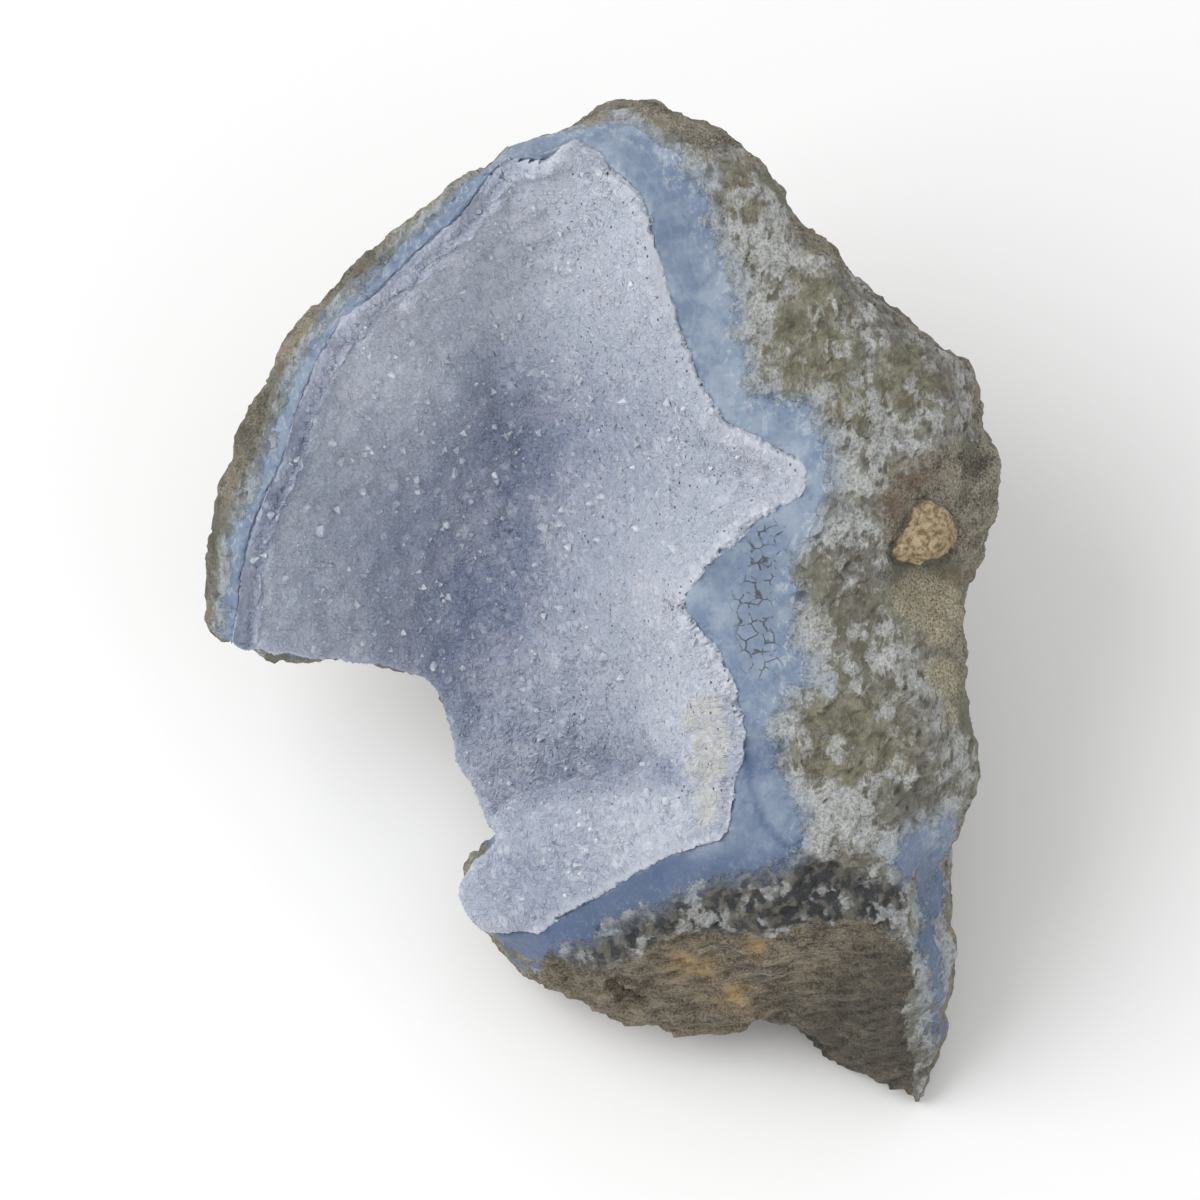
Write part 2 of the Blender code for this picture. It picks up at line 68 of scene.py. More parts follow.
# Places on the broken face, as (u, v) in millimetres.
CHALCEDONY_OUTLINE = [
    (-14.5, 69), (-8.3, 70.8), (-3.6, 71.7), (2, 72.8), (5.4, 71.4), (11.1, 68), (11.6, 64.4), (15.6, 62.6),
    (16.1, 56.4), (18.2, 52.1), (20, 47.3), (20.4, 39.8), (21.8, 34.1), (22.2, 30.9), (27.5, 30),
    (31.8, 28.8), (32.7, 26.1), (34.5, 23), (35, 16.4), (31.4, 9.3), (29.3, 5.4), (28.8, -0.8),
    (28.4, -7.4), (32.3, -12.3), (26.6, -15.8), (24.8, -18.9), (26.6, -24.6), (29.3, -29.6), (30, -36),
    (25.8, -40.1), (17, -41.4), (11.7, -44.1), (4.7, -46.7), (-0.6, -49.4), (-5, -51.9), (-9.8, -58),
    (-15, -54.5), (-18.2, -49.8), (-6, -42), (6, -15), (-6, 30), (-9, 52.5), (-14.6, 66.6),
]
CORNER_CHALCEDONY = [
    (52.5, -32.6), (53.7, -34.2), (53.7, -38), (52.5, -41.7), (51.6, -46.8), (49.2, -48.8), (48.3, -42.6),
    (44.9, -41), (44.6, -36.8), (48.3, -34.2),
]
WEATHERED_OUTLINE = [
    (-6, 81), (66, 81), (66, -24), (55.8, -22.8), (54.6, -19.8), (51.6, -18.2), (50.4, -14), (49.1, -10.7),
    (48.8, -5.6), (45.3, -2.3), (43.2, 1.2), (43.2, 6.6), (42.8, 11.3), (41.1, 14.3), (44.9, 19.1),
    (50.9, 22.8), (58.4, 26.3), (56.3, 31.7), (53, 36.8), (46.2, 41.9), (39.9, 47.7), (36.2, 50.7),
    (31.1, 52.8), (27.6, 56.1), (29.7, 59.1), (27.6, 62.4), (23.1, 65.4), (21.3, 68), (15.9, 67.1),
    (11.7, 69.6), (6.2, 72.3), (2, 73.2), (-3.6, 72.2), (-8.3, 72), (-12, 73),
]
SANDSTONE_OUTLINE = [
    (-7.8, -53.7), (-0.5, -56.7), (2.7, -54.9), (8.1, -52.2), (12.5, -49.5), (18.3, -50.6), (26.4, -50.1),
    (30.6, -48.8), (39.2, -48.2), (42.5, -49.5), (46.7, -52.7), (47.3, -57), (46.2, -61.8), (46.7, -66.6),
    (47.9, -71), (47.3, -78), (15, -78), (-6, -66), (-10.5, -57.8),
]
# The smoky seam ends at the sandstone's upper edge.
SMOKY_OUTLINE = [
    (-6, -53.3), (-0.6, -49.4), (4.7, -46.7), (11.7, -44.1), (17, -41.4), (25.8, -40.1), (30, -37.5),
    (37.5, -40.2), (45.8, -42.8), (45.8, -52.5),
] + SANDSTONE_OUTLINE[9:0:-1]
PEBBLE_OUTLINE = [
    (49.1, 15), (51.8, 13.8), (53.6, 11.3), (53.7, 9), (51.8, 6.8), (48, 5), (45, 5.7), (44, 7.1), (45, 9),
    (46.8, 12), (47.3, 13.8),
]
SHELL_EDGE_OUTLINE = [
    (12.9, -15.8), (11.6, -18.9), (13.8, -21), (12.9, -25.8), (14.7, -27.6), (15, -34.5), (18.6, -35.6),
    (19.5, -31.7), (19.5, -28.5), (21.3, -25.1), (21.8, -21.5), (20.9, -16.7), (20.4, -14), (17, -13.5),
]
TOP_SHELL_EDGE_OUTLINE = [
    (-3.6, 70.6), (-1.2, 71.4), (-1.8, 68.7), (-0.3, 67), (0.6, 63.9), (-3, 63), (-6, 65.4), (-4.7, 68.1),
]
HOLLOW_RIM = [
    (-55.5, -6.2), (-54.2, 3.9), (-50.4, 16.1), (-47.9, 20.4), (-46.2, 27.5), (-41.1, 38.9), (-36.9, 42.7),
    (-30.2, 49.7), (-21.8, 57), (-16.4, 64.1), (-14.6, 66.6), (-7.8, 66), (-3.6, 70.7), (-1.2, 71.4),
    (-0.3, 67.1), (0.6, 63.9), (5, 61.8), (7.7, 55.2), (9.5, 49.8), (11.4, 42.3), (13.4, 36.2),
    (17.3, 27.5), (24, 23.4), (30.5, 20.9), (30.9, 15.9), (23.1, 12.5), (16.1, 5.9), (11.6, -0.8),
    (16.1, -6.9), (19.1, -11.4), (21.8, -21.5), (19.5, -31.7), (18.6, -35.6), (15.3, -36.6), (8.3, -39.6),
    (1.2, -43.8), (-5.9, -47.6), (-9.9, -50.9),
]
# Two corners far beyond the hollow's open end, which close its rim for a test of what lies inside.
OPEN_END_CORNERS = [(-30, -62), (-75, -30)]
# The hollow's valley, along which the druse is bluer and carries painted shade.
VALLEY_LINE = [(-14, 27.5), (-12, 24), (-14.3, 10.5), (-19.5, -6), (-24, -13.5)]
VEIN_LINE = [(49.5, -49.5), (50.1, -54), (51.3, -58.5), (52.5, -62.3), (52.2, -66)]
DARK_STREAK_LINES = [
    [(21.8, -22), (22.6, -28), (24.4, -33.5), (28.6, -37.6), (33, -39)],
    [(24.6, 61.5), (23.5, 58.5), (24.2, 55)],
]
CRACK_LINE = [(25.2, 9), (23.6, 3.8), (22.8, 0), (23.3, -3.8), (24.3, -9)]
SLOT_LINE = [(1.4, -58.3), (3.6, -60), (6, -61)]
# Olive patches in the quartz, as (u, v, radius).
OLIVE_PATCHES = [
    (31, 38.4, 8.2), (31.8, 46, 4), (36.4, 28.8, 5.2), (45.3, 33, 5.7), (21, 62, 3), (23.6, 58.2, 2.3),
    (36.4, -17.7, 6.8), (41.6, -21.9, 6.3), (35.2, -25.5, 4.5), (32.7, 3.8, 4.2), (40.4, -2.3, 4.8),
]
# Pale milky patches in the quartz, as (u, v, radius).
MILKY_PATCHES = [
    (24.5, 53, 7), (22, 42, 5), (38, 22, 6), (42, 27, 5), (33, 12, 4), (40.5, -5.5, 3.5), (32, -9, 4.5),
    (29, -19, 3), (34.5, -31, 5.5), (47, -48, 3.5), (41.5, 10.5, 4),
]
# Dim glassy patches in the quartz, as (u, v, radius).
DIM_PATCHES = [
    (39, 4, 7), (46, -31, 4.5), (48.5, -72, 9), (40, -3, 5), (38, -44, 6), (-52, 24, 9), (-58, 6, 9),
    (-36, 48, 8),
]
# Pale sandy patches in the weathered skin, as (u, v, radius).
SANDY_PATCHES = [(48.9, -1.5, 6), (50.5, -12, 4), (51, -17, 3)]
# Deeper patches of the blue band, as (u, v, radius).
DEEP_BLUE_PATCHES = [(-11, 69.5, 5), (13.5, 57, 6), (19.5, 5, 4), (24.8, -23, 4), (23, 61, 3)]
# Rusty patches of the skin, as (u, v, radius).
RUST_PATCHES = [(43.6, 14.2, 2.6), (46.5, 19, 3), (53, 2.5, 2.5)]
# Painted shade on the druse, as (u, v, radius, strength); a patch whose strength is below 0 is painted light.
PAINTED_DRUSE_SHADE_AND_LIGHT = [
    (6, 26, 13, 0.35), (2, -40, 15, 0.4), (-14, -42, 10, 0.4), (-26, 12, 16, 0.15), (-40, 12, 15, 0.2),
    (-40, -4, 12, 0.15), (-30, 40, 9, -0.35), (-15, 50, 8, -0.25), (-15, -24.5, 5, 0.25),
    (4.5, -37.5, 5, -0.45), (9.5, -33, 4, -0.4), (11, -26, 3, 0.3),
]
# Painted shade in the recess above the ledge of druse.
RECESS_OUTLINE = [
    (-14.5, -35.2), (-10, -32.4), (-3, -30.6), (4, -29.6), (9, -28.6), (13, -28.4), (12, -21.5), (4, -23.5),
    (-4, -25), (-12, -29),
]
RIDGE_LINE = [(-38, 42.3), (-33, 36), (-25.5, 33.8), (-19.5, 30)]
# Ochre patches in the sandstone, as (u, v, radius).
OCHRE_PATCHES = [(20.3, -60.2, 2.4), (12.8, -54.6, 2.4), (16, -55.8, 1.8), (24, -52.2, 1.6)]

NOISE_TABLE = 32
WELD = 0.00001
# Rays towards the broken face start this far out of it.
RAY_START = 40.0

# The crust's edge at the hollow's rim. The left side is steep and has values of its own.
STEEP_SIDE = (-6.0, -20.0)  # u where the steep side begins, and where it is fully steep
RIM_PUSH, STEEP_RIM_PUSH = 0.8, 0.3  # into the rock
RIM_SLOPE, STEEP_RIM_SLOPE = 0.7, 0.75
RIM_WIDTH, STEEP_RIM_WIDTH = 2.6, 4.6  # in from the rim
RIM_TEETH = 0.6
RIM_PROUD = 0.05
THINNEST_CRUST = 0.35
MOST_SUNK, MOST_RAISED = 5.0, 3.0
PROBE_STEP = 0.2

# Regions of the stone.
CRUST_REACH = 12.0  # how far from the crust distances are measured
ELSEWHERE = -20.0  # depth given to a point that can't be in a region
FRONT_FACING = (0.0, 0.35)
SKIN_FACING = 0.22
SIDE_SHARPNESS = 20
LEAST_BAND = 3.0  # width of the blue band where nothing else sets it
LEFT_SIDE, LEFT_BAND = -16.0, 5.4  # left of this u the skin starts this far from the crust
VEIN_HALF_WIDTH = 1.1
CORNER_DEPTH = 0.9
BED_THICKNESS, BED_SLOPE = 1.9, 0.18
PEBBLE_HEIGHT = 0.6
SLOT_DEPTH = 3.0

# The druse. A fine crystal's foot is FOOT_WIDTHS times as wide as its corners are far from its centre.
DRUSE_GROWTH = 0.42
RIDGE_HEIGHT, RIDGE_HALF_WIDTH = 0.9, 2.4
ABOVE_BED, OFF_BED = 0.9, 1.2  # a face this far from the rock is on the crust's open side
FOOT_WIDTHS = 1.5
CRYSTAL_FIELD = ((-55.0, -50.0), (30.0, 70.0))
CRYSTAL_TO_RIM = 1.0
FOOT_RING = 1.5
# A place where no crystal can stand counts as this much of one, so that the search always ends.
MISS_COST = 0.02
DRUSE_SEED, CRYSTAL_SEED = 5, 17
ROCK_SMOOTHING, DRUSE_SMOOTHING = 3, 22

# Painted glints on the druse, faces painted pale as if they caught the light: size, turn, and the share left
# plain.
GLINTS = ((1.5, 0.4, 0.72), (2.6, 1.1, 0.86))
QUARTZ_GLOW = (1.0, 1.05, 1.3)
QUARTZ_GLOW_REACH = 0.0008

# The lights, in metres, each in a direction given as right, up and out of the broken face.
KEY_WAY, KEY_REACH, KEY_SIZE = (-0.62, 0.30, 0.75), 0.8, 0.7
FILL_WAY, FILL_REACH, FILL_SIZE = (0.75, -0.25, 0.60), 0.9, 0.8
SENSOR_WIDTH = 36.0


def colour(label, description, *everyday):
    """A colour setting, whose default is given in everyday 0 to 255 values and kept as linear ones."""
    shares = [value / 255 for value in everyday]
    linear = [share / 12.92 if share <= 0.04045 else ((share + 0.055) / 1.055) ** 2.4 for share in shares]
    return FloatVectorProperty(
        name=label, description=description, subtype="COLOR", size=3, min=0.0, max=1.0, default=linear,
    )


def face_axes(points):
    """World points in millimetres as u, v, w of the broken face."""
    moved = points - FACE_ORIGIN
    return np.stack([moved @ FACE_RIGHT, moved @ FACE_UP, moved @ FACE_OUT], axis=1)


def fade(values, low, high):
    """A soft step from 0 at `low` to 1 at `high`, which may be the smaller of the two."""
    part = np.clip((values - low) / (high - low), 0, 1)
    return part * part * (3 - 2 * part)


def between(first, second, share):
    return first + share * (second - first)


def line_distance(places, line, closed=False):
    """Distance of each (u, v) place to a line of points."""
    ends = line[1:] + line[:1] if closed else line[1:]
    nearest = np.full(len(places), np.inf)
    for start, end in zip(line, ends):
        start, end = np.array(start, float), np.array(end, float)
        run = end - start
        share = np.clip(((places - start) @ run) / (run @ run), 0, 1)
        offset = places - start - share[:, None] * run
        nearest = np.minimum(nearest, np.hypot(offset[:, 0], offset[:, 1]))
    return nearest


def depth_inside(places, outline):
    """Distance of each (u, v) place to an outline, above 0 inside it and below 0 outside."""
    inside = np.zeros(len(places), bool)
    for (u0, v0), (u1, v1) in zip(outline, outline[1:] + outline[:1]):
        if v0 == v1:
            continue
        crosses = (v0 > places[:, 1]) != (v1 > places[:, 1])
        inside ^= crosses & (places[:, 0] < (u1 - u0) * (places[:, 1] - v0) / (v1 - v0) + u0)
    return np.where(inside, 1, -1) * line_distance(places, outline, closed=True)


def patches(places, spots):
    total = np.zeros(len(places))
    for u, v, radius in spots:
        reach = ((places[:, 0] - u) ** 2 + (places[:, 1] - v) ** 2) / radius**2
        total = np.maximum(total, np.exp(-reach))
    return total


def smooth_noise(points, size, seed):
    """Soft random heights from -1 to 1, with bumps about `size` across."""
    table = np.random.default_rng(seed).uniform(-1, 1, (NOISE_TABLE,) * 3)
    grid = points / size
    low = np.floor(grid).astype(int)
    part = grid - low
    part = part * part * (3 - 2 * part)
    total = np.zeros(len(points))
    for corner in np.ndindex(2, 2, 2):
        weight = np.prod(np.where(corner, part, 1 - part), axis=1)
        total += weight * table[tuple(((low + corner) % NOISE_TABLE).T)]
    return total


def rough_noise(points, size, octaves, seed):
    return sum(smooth_noise(points, size / 2**step, seed + step) / 2**step for step in range(octaves))


def chips(points, size, seed):
    """Heights of broken chips about `size` across, each one a plane with a tilt of its own."""
    rng = np.random.default_rng(seed)
    shifts = rng.uniform(0, 1, (NOISE_TABLE,) * 3 + (3,))
    tilts = rng.uniform(-1, 1, (NOISE_TABLE,) * 3 + (3,))
    grid = points / size
    low = np.floor(grid).astype(int)
    nearest = np.full(len(points), np.inf)
    heights = np.zeros(len(points))
    for step in np.ndindex(3, 3, 3):
        cell = low + step - 1
        key = tuple((cell % NOISE_TABLE).T)
        offset = grid - cell - shifts[key]
        distance = (offset**2).sum(axis=1)
        nearer = distance < nearest
        nearest[nearer] = distance[nearer]
        heights[nearer] = (offset * tilts[key]).sum(axis=1)[nearer]
    return heights


def read_points(mesh):
    """The mesh's points, in millimetres."""
    flat = np.zeros(len(mesh.vertices) * 3)
    mesh.vertices.foreach_get("co", flat)
    return flat.reshape(-1, 3) / MM


def read_normals(mesh):
    flat = np.zeros(len(mesh.vertices) * 3, np.float32)
    mesh.vertex_normals.foreach_get("vector", flat)
    return flat.reshape(-1, 3).astype(float)


def write_points(mesh, points):
    mesh.vertices.foreach_set("co", (points * MM).ravel())
    mesh.update()


def write_attributes(mesh, attributes):
    for name, values in attributes.items():
        made = mesh.attributes.new(name, "FLOAT", "POINT")
        made.data.foreach_set("value", np.asarray(values, np.float32))


def new_object(name, bm):
    mesh = bpy.data.meshes.new(name)
    bm.to_mesh(mesh)
    bm.free()
    obj = bpy.data.objects.new(name, mesh)
    bpy.context.scene.collection.objects.link(obj)
    return obj


def merged_copy(node, name):
    """A closed copy of a CAD node, whose own mesh stays as it is."""
    bm = bmesh.new()
    bm.from_mesh(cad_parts[node].data)
    bmesh.ops.remove_doubles(bm, verts=bm.verts, dist=WELD)
    return new_object(name, bm)


def apply_modifiers(obj):
    view = bpy.context.evaluated_depsgraph_get()
    view.update()
    made = bpy.data.meshes.new_from_object(obj.evaluated_get(view))
    obj.modifiers.clear()
    old = obj.data
    obj.data = made
    bpy.data.meshes.remove(old)
    made.name = obj.name


def remesh(obj, cell, smoothing):
    """Gives a closed piece an even mesh with cells of this size, in metres."""
    step = obj.modifiers.new("cells", "REMESH")
    step.mode = "VOXEL"
    step.voxel_size = cell
    step.adaptivity = 0
    soft = obj.modifiers.new("soften", "SMOOTH")
    soft.factor = 0.5
    soft.iterations = smoothing
    apply_modifiers(obj)


def search_tree(obj):
    bm = bmesh.new()
    bm.from_mesh(obj.data)
    tree = BVHTree.FromBMesh(bm)
    bm.free()
    return tree


def tree_of(node):
    """A search tree of a CAD node, in metres."""
    copy = merged_copy(node, "for distances")
    tree = search_tree(copy)
    bpy.data.meshes.remove(copy.data)
    return tree


def distance_to(tree, points, reach):
    """Distance in millimetres from each point to a mesh, no more than `reach`."""
    found = np.full(len(points), reach, float)
    for number, point in enumerate(points * MM):
        hit = tree.find_nearest(Vector(point), reach * MM)
        if hit[3] is not None:
            found[number] = hit[3] / MM
    return found


def rim_depth(places):
    """Distance of each (u, v) place to the hollow's rim, above 0 inside the hollow."""
    side = np.sign(depth_inside(places, HOLLOW_RIM + OPEN_END_CORNERS))
    return side * line_distance(places, HOLLOW_RIM)


def face_levels(tree, places):
    """Height w of the rock at each (u, v) place of the broken face."""
    levels = np.full(len(places), np.nan)
    down = Vector(-FACE_OUT)
    for number, (u, v) in enumerate(places):
        start = FACE_ORIGIN + FACE_RIGHT * u + FACE_UP * v + FACE_OUT * RAY_START
        hit = tree.ray_cast(Vector(start * MM), down)
        if hit[0] is not None:
            levels[number] = RAY_START - hit[3] / MM
    return levels


def crust_edge_lift(depth, steep, slope_run, face, floor, now, facing, width):
    """How far each point near the rim moves out of the face, in millimetres."""
    target = face - slope_run
    part = depth / width
    raised = np.where(depth > 0, np.maximum(target - now, 0), target - now)
    raised *= fade(facing, -0.1, 0.3) * fade(part, 1.0, 0.5)
    sunk = np.minimum(np.maximum(target, floor) - now, 0) * fade(part, 1.0, 0.4) * steep
    lift = np.where((depth > 0) & (target < now), sunk, raised)
    return np.clip(np.nan_to_num(lift), -MOST_SUNK, MOST_RAISED)


def meet_the_face(points, normals, rock_tree, rng):
    """Carries the crust's edge up to the broken face, so that the two meet in one crisp line."""
    axes = face_axes(points)
    places = axes[:, :2]
    depth = rim_depth(places)
    probes = np.array([PROBE_STEP, 0.0]), np.array([0.0, PROBE_STEP])
    slopes = [(rim_depth(places + probe) - depth) / PROBE_STEP for probe in probes]
    outward = -np.stack(slopes, axis=1)
    outward /= np.maximum(np.linalg.norm(outward, axis=1), 0.5)[:, None]
    steep = fade(places[:, 0], *STEEP_SIDE)
    push = between(RIM_PUSH, STEEP_RIM_PUSH, steep) * fade(depth, 3.0, 0.3)
    depth = depth - push
    places = places + outward * push[:, None]
    width = between(RIM_WIDTH, STEEP_RIM_WIDTH, steep)

    near = np.flatnonzero(depth < width)
    beyond = places[near] + outward[near] * (np.maximum(depth[near], 0) + 1.0)[:, None]
    teeth = rough_noise(points[near], 1.0, 2, 71) + smooth_noise(points[near], 2.8, 72)
    teeth = RIM_TEETH * (teeth + rng.uniform(-0.9, 0.9, len(near))) * (1 - 0.7 * steep[near])
    face = face_levels(rock_tree, beyond) + RIM_PROUD + teeth
    floor = np.nan_to_num(face_levels(rock_tree, places[near]) + THINNEST_CRUST, nan=-99.0)
    slope_run = between(RIM_SLOPE, STEEP_RIM_SLOPE, steep[near]) * np.abs(depth[near])
    w = axes[:, 2].copy()
    w[near] += crust_edge_lift(
        depth[near], steep[near], slope_run, face, floor, w[near], normals[near] @ FACE_OUT, width[near],
    )
    return FACE_ORIGIN + places[:, :1] * FACE_RIGHT + places[:, 1:] * FACE_UP + w[:, None] * FACE_OUT


def dark_blue_and_shade(places):
    """Share of dark blue in the chalcedony: to the left, in patches and along streaks, and low down, where it
    is painted shade, strongest below the ledge where the band turns away.
    """
    u, v = places[:, 0], places[:, 1]
    share = 0.35 * fade(v, -8.0, -24.0) + 0.5 * fade(v, -35.0, -41.0)
    share += 0.35 * patches(places, DEEP_BLUE_PATCHES) + 0.3 * fade(u, -12.0, -24.0)
    for line in DARK_STREAK_LINES:
        share += 0.5 * fade(line_distance(places, line), 0.9, 0.1)
    return np.clip(share, 0, 0.95)


def rock_regions(places, facing, rim):
    """Depth inside each kind of rock and strength of each tint at every point, by attribute name."""
    u, v = places[:, 0], places[:, 1]
    front = fade(facing, *FRONT_FACING)
    corner = np.minimum(depth_inside(places, CORNER_CHALCEDONY), CORNER_DEPTH)
    band = np.maximum(depth_inside(places, CHALCEDONY_OUTLINE), corner)
    band = np.maximum(band, VEIN_HALF_WIDTH - line_distance(places, VEIN_LINE))
    band = np.where(front > 0.5, band, ELSEWHERE)
    band = np.maximum(band, LEAST_BAND - rim)

    away = (SKIN_FACING - facing) * 14
    left_skin = np.where(u < LEFT_SIDE, (rim - LEFT_BAND) * 1.2, ELSEWHERE)
    weathered = np.maximum(depth_inside(places, WEATHERED_OUTLINE), np.maximum(away, left_skin))
    weathered = np.minimum(weathered, rim * 1.5 - 3.0)
    return {
        "rim": rim,
        "chalcedony": band,
        "weathered": weathered,
        "sandstone": np.minimum(depth_inside(places, SANDSTONE_OUTLINE), (facing + 0.25) * SIDE_SHARPNESS),
        "smoky": np.minimum(depth_inside(places, SMOKY_OUTLINE), (facing + 0.1) * SIDE_SHARPNESS),
        "pebble": np.minimum(depth_inside(places, PEBBLE_OUTLINE), (facing + 0.1) * SIDE_SHARPNESS),
        "deep_blue_and_shade": dark_blue_and_shade(places),
        "cracks": fade(line_distance(places, CRACK_LINE), 4.2, 1.8),
        "olive": patches(places, OLIVE_PATCHES) * front,
        "ochre": patches(places, OCHRE_PATCHES) * front,
        "dim": patches(places, DIM_PATCHES),
        "milky": patches(places, MILKY_PATCHES),
        "sandy": patches(places, SANDY_PATCHES) * front,
        "rust": patches(places, RUST_PATCHES) * front,
        "lower_beds": fade(0.7 * u - 0.7 * (v + 55.0), 20.0, 34.0),
    }


def rock_relief(points, places, facing, regions, chip_depth, lump_depth):
    """How far every point of the stone moves out along its normal, in millimetres."""
    in_band = fade(regions["chalcedony"], -0.6, 0.6)
    in_skin = fade(regions["weathered"], -0.8, 0.8)
    in_sand = fade(regions["sandstone"], -0.5, 0.5)
    in_pebble = fade(regions["pebble"], -0.2, 0.3)
    fresh = (1 - in_band) * (1 - in_skin) * (1 - in_sand)
    chipped = chips(points, 3.6, 11) + 0.6 * chips(points, 1.8, 12) + 0.3 * smooth_noise(points, 5.0, 13)
    lumpy = rough_noise(points, 7.0, 4, 21) + 0.5 * chips(points, 2.6, 22)
    lumpy += 0.3 * rough_noise(points, 1.6, 2, 23)
    bedding = (places[:, 1] - BED_SLOPE * places[:, 0]) / BED_THICKNESS + 0.8 * smooth_noise(points, 7.0, 31)
    ledges = (bedding - np.floor(bedding)) * 0.9 - 0.45 + 0.5 * smooth_noise(points, 1.6, 32)
    waves = 0.28 * smooth_noise(points, 6.0, 41) + 0.22 * chips(points, 8.0, 42)
    height = (
        fresh * chip_depth * chipped
        + in_skin * (1 - in_sand) * lump_depth * lumpy
        + in_sand * (0.8 * ledges + 0.35 * chips(points, 4.0, 33))
        + in_band * (1 - in_skin) * waves
        + in_pebble * (PEBBLE_HEIGHT + 0.4 * smooth_noise(points, 1.5, 61))
        - 0.5 * fade(np.abs(regions["pebble"] + 0.5), 0.7, 0.1)
        - SLOT_DEPTH * fade(line_distance(places, SLOT_LINE), 1.1, 0.3) * fade(facing, -0.2, 0.2)
    )
    return height * fade(regions["rim"], 0.2, 1.5)


def grow_fine_crystals(druse, bed_tree, point_height, rng):
    """Draws each face of the crust's open side out into a leaning point."""
    bm = bmesh.new()
    bm.from_mesh(druse.data)
    bmesh.ops.dissolve_degenerate(bm, dist=WELD, edges=bm.edges)
    bmesh.ops.triangulate(bm, faces=bm.faces)
    bmesh.ops.recalc_face_normals(bm, faces=bm.faces)
    shown = []
    for face in bm.faces:
        middle = face.calc_center_median()
        foot, normal, number, distance = bed_tree.find_nearest(middle)
        if (middle - foot).dot(normal) > ABOVE_BED * MM or distance > OFF_BED * MM:
            shown.append(face)
    tops = bmesh.ops.poke(bm, faces=shown)["verts"]
    bm.normal_update()
    for top in tops:
        width = sum(edge.calc_length() for edge in top.link_edges) / len(top.link_edges) * FOOT_WIDTHS
        lean = Vector(rng.uniform(-0.2, 0.2, 3)) * width
        top.co += top.normal * width * point_height * rng.uniform(0.35, 1.4) + lean
    bm.to_mesh(druse.data)
    bm.free()
    druse.data.validate()


def druse_tints(axes):
    """Strength of each tint of the druse at every point, by attribute name; the deep tint also carries
    painted shade and painted light.
    """
    places = axes[:, :2]
    u, v = places[:, 0], places[:, 1]
    rim = line_distance(places, HOLLOW_RIM)
    left = fade(u, *STEEP_SIDE)
    # The deep tint: the druse's own bluer colour down in the hollow, with painted shade along the valley and
    # deeper in.
    valley = np.exp(-((line_distance(places, VALLEY_LINE) / 10.0) ** 2))
    depth = fade(-axes[:, 2], 8.0, 46.0)
    # Painted shade in patches, and painted light where a patch's strength is below 0.
    shaded = sum(share * patches(places, [(u0, v0, radius)]) for u0, v0, radius, share in PAINTED_DRUSE_SHADE_AND_LIGHT)
    # Painted shade in the recess above the ledge.
    shaded += 0.35 * fade(depth_inside(places, RECESS_OUTLINE), -0.4, 2.5)
    # Painted shade along the rim of the steep left side.
    shaded += 0.65 * left * fade(rim, 5.0, 2.2)
    return {
        "deep": np.clip(0.35 * depth + 0.6 * valley + shaded, 0, 1),
        "edge": fade(rim, 1.6, 0.2) * (0.2 - 0.15 * left),
        "shell_edge": np.maximum(
            depth_inside(places, SHELL_EDGE_OUTLINE), depth_inside(places, TOP_SHELL_EDGE_OUTLINE),
        ),
        "cream": fade(rim, 1.4, 2.6) * fade(v, 20.0, 0.0),
        "specked": np.clip(fade(u, -18.0, 0.0) * fade(v, -34.0, -28.0) + 0.12, 0, 1),
    }


def stand_crystal(bm, ring, full_radius, rng):
    """Adds one blunt point that stands on the druse, whose surface the ring of six points gives."""
    middle = sum(ring, Vector()) / len(ring)
    across = (ring[0] - ring[3]).cross(ring[1] - ring[4]).normalized()
    radius = full_radius * rng.uniform(0.35, 1.0) ** 1.5 * rng.uniform(0.8, 1.5)
    height = radius * rng.uniform(0.9, 1.6)
    lean = Vector(rng.uniform(-0.45, 0.45, 3))
    turn = (across + lean).to_track_quat("Z", "Y").to_matrix().to_4x4()
    spin = Matrix.Rotation(rng.uniform(0, math.tau), 4, "Z")
    bmesh.ops.create_cone(
        bm, cap_ends=True, segments=int(rng.choice((3, 3, 4, 6))), radius1=radius,
        radius2=radius * rng.uniform(0.05, 0.35), depth=height,
        matrix=Matrix.Translation(middle + across * height * 0.12) @ turn @ spin,
    )


def finish_piece(obj, material, node):
    obj.data.materials.append(material)
    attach(obj, "root")
    if node:
        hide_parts(node)


class Value:
    """A number or colour worked out inside a material. Values add, subtract and multiply."""

    def __init__(self, finish, node, output):
        self.finish = finish
        self.node = node
        self.socket = node.outputs[output]

    def other(self, output):
        return Value(self.finish, self.node, output)

    def __add__(self, value):
        return self.finish.maths("ADD", self, value)

    def __sub__(self, value):
        return self.finish.maths("SUBTRACT", self, value)

    def __mul__(self, value):
        return self.finish.maths("MULTIPLY", self, value)


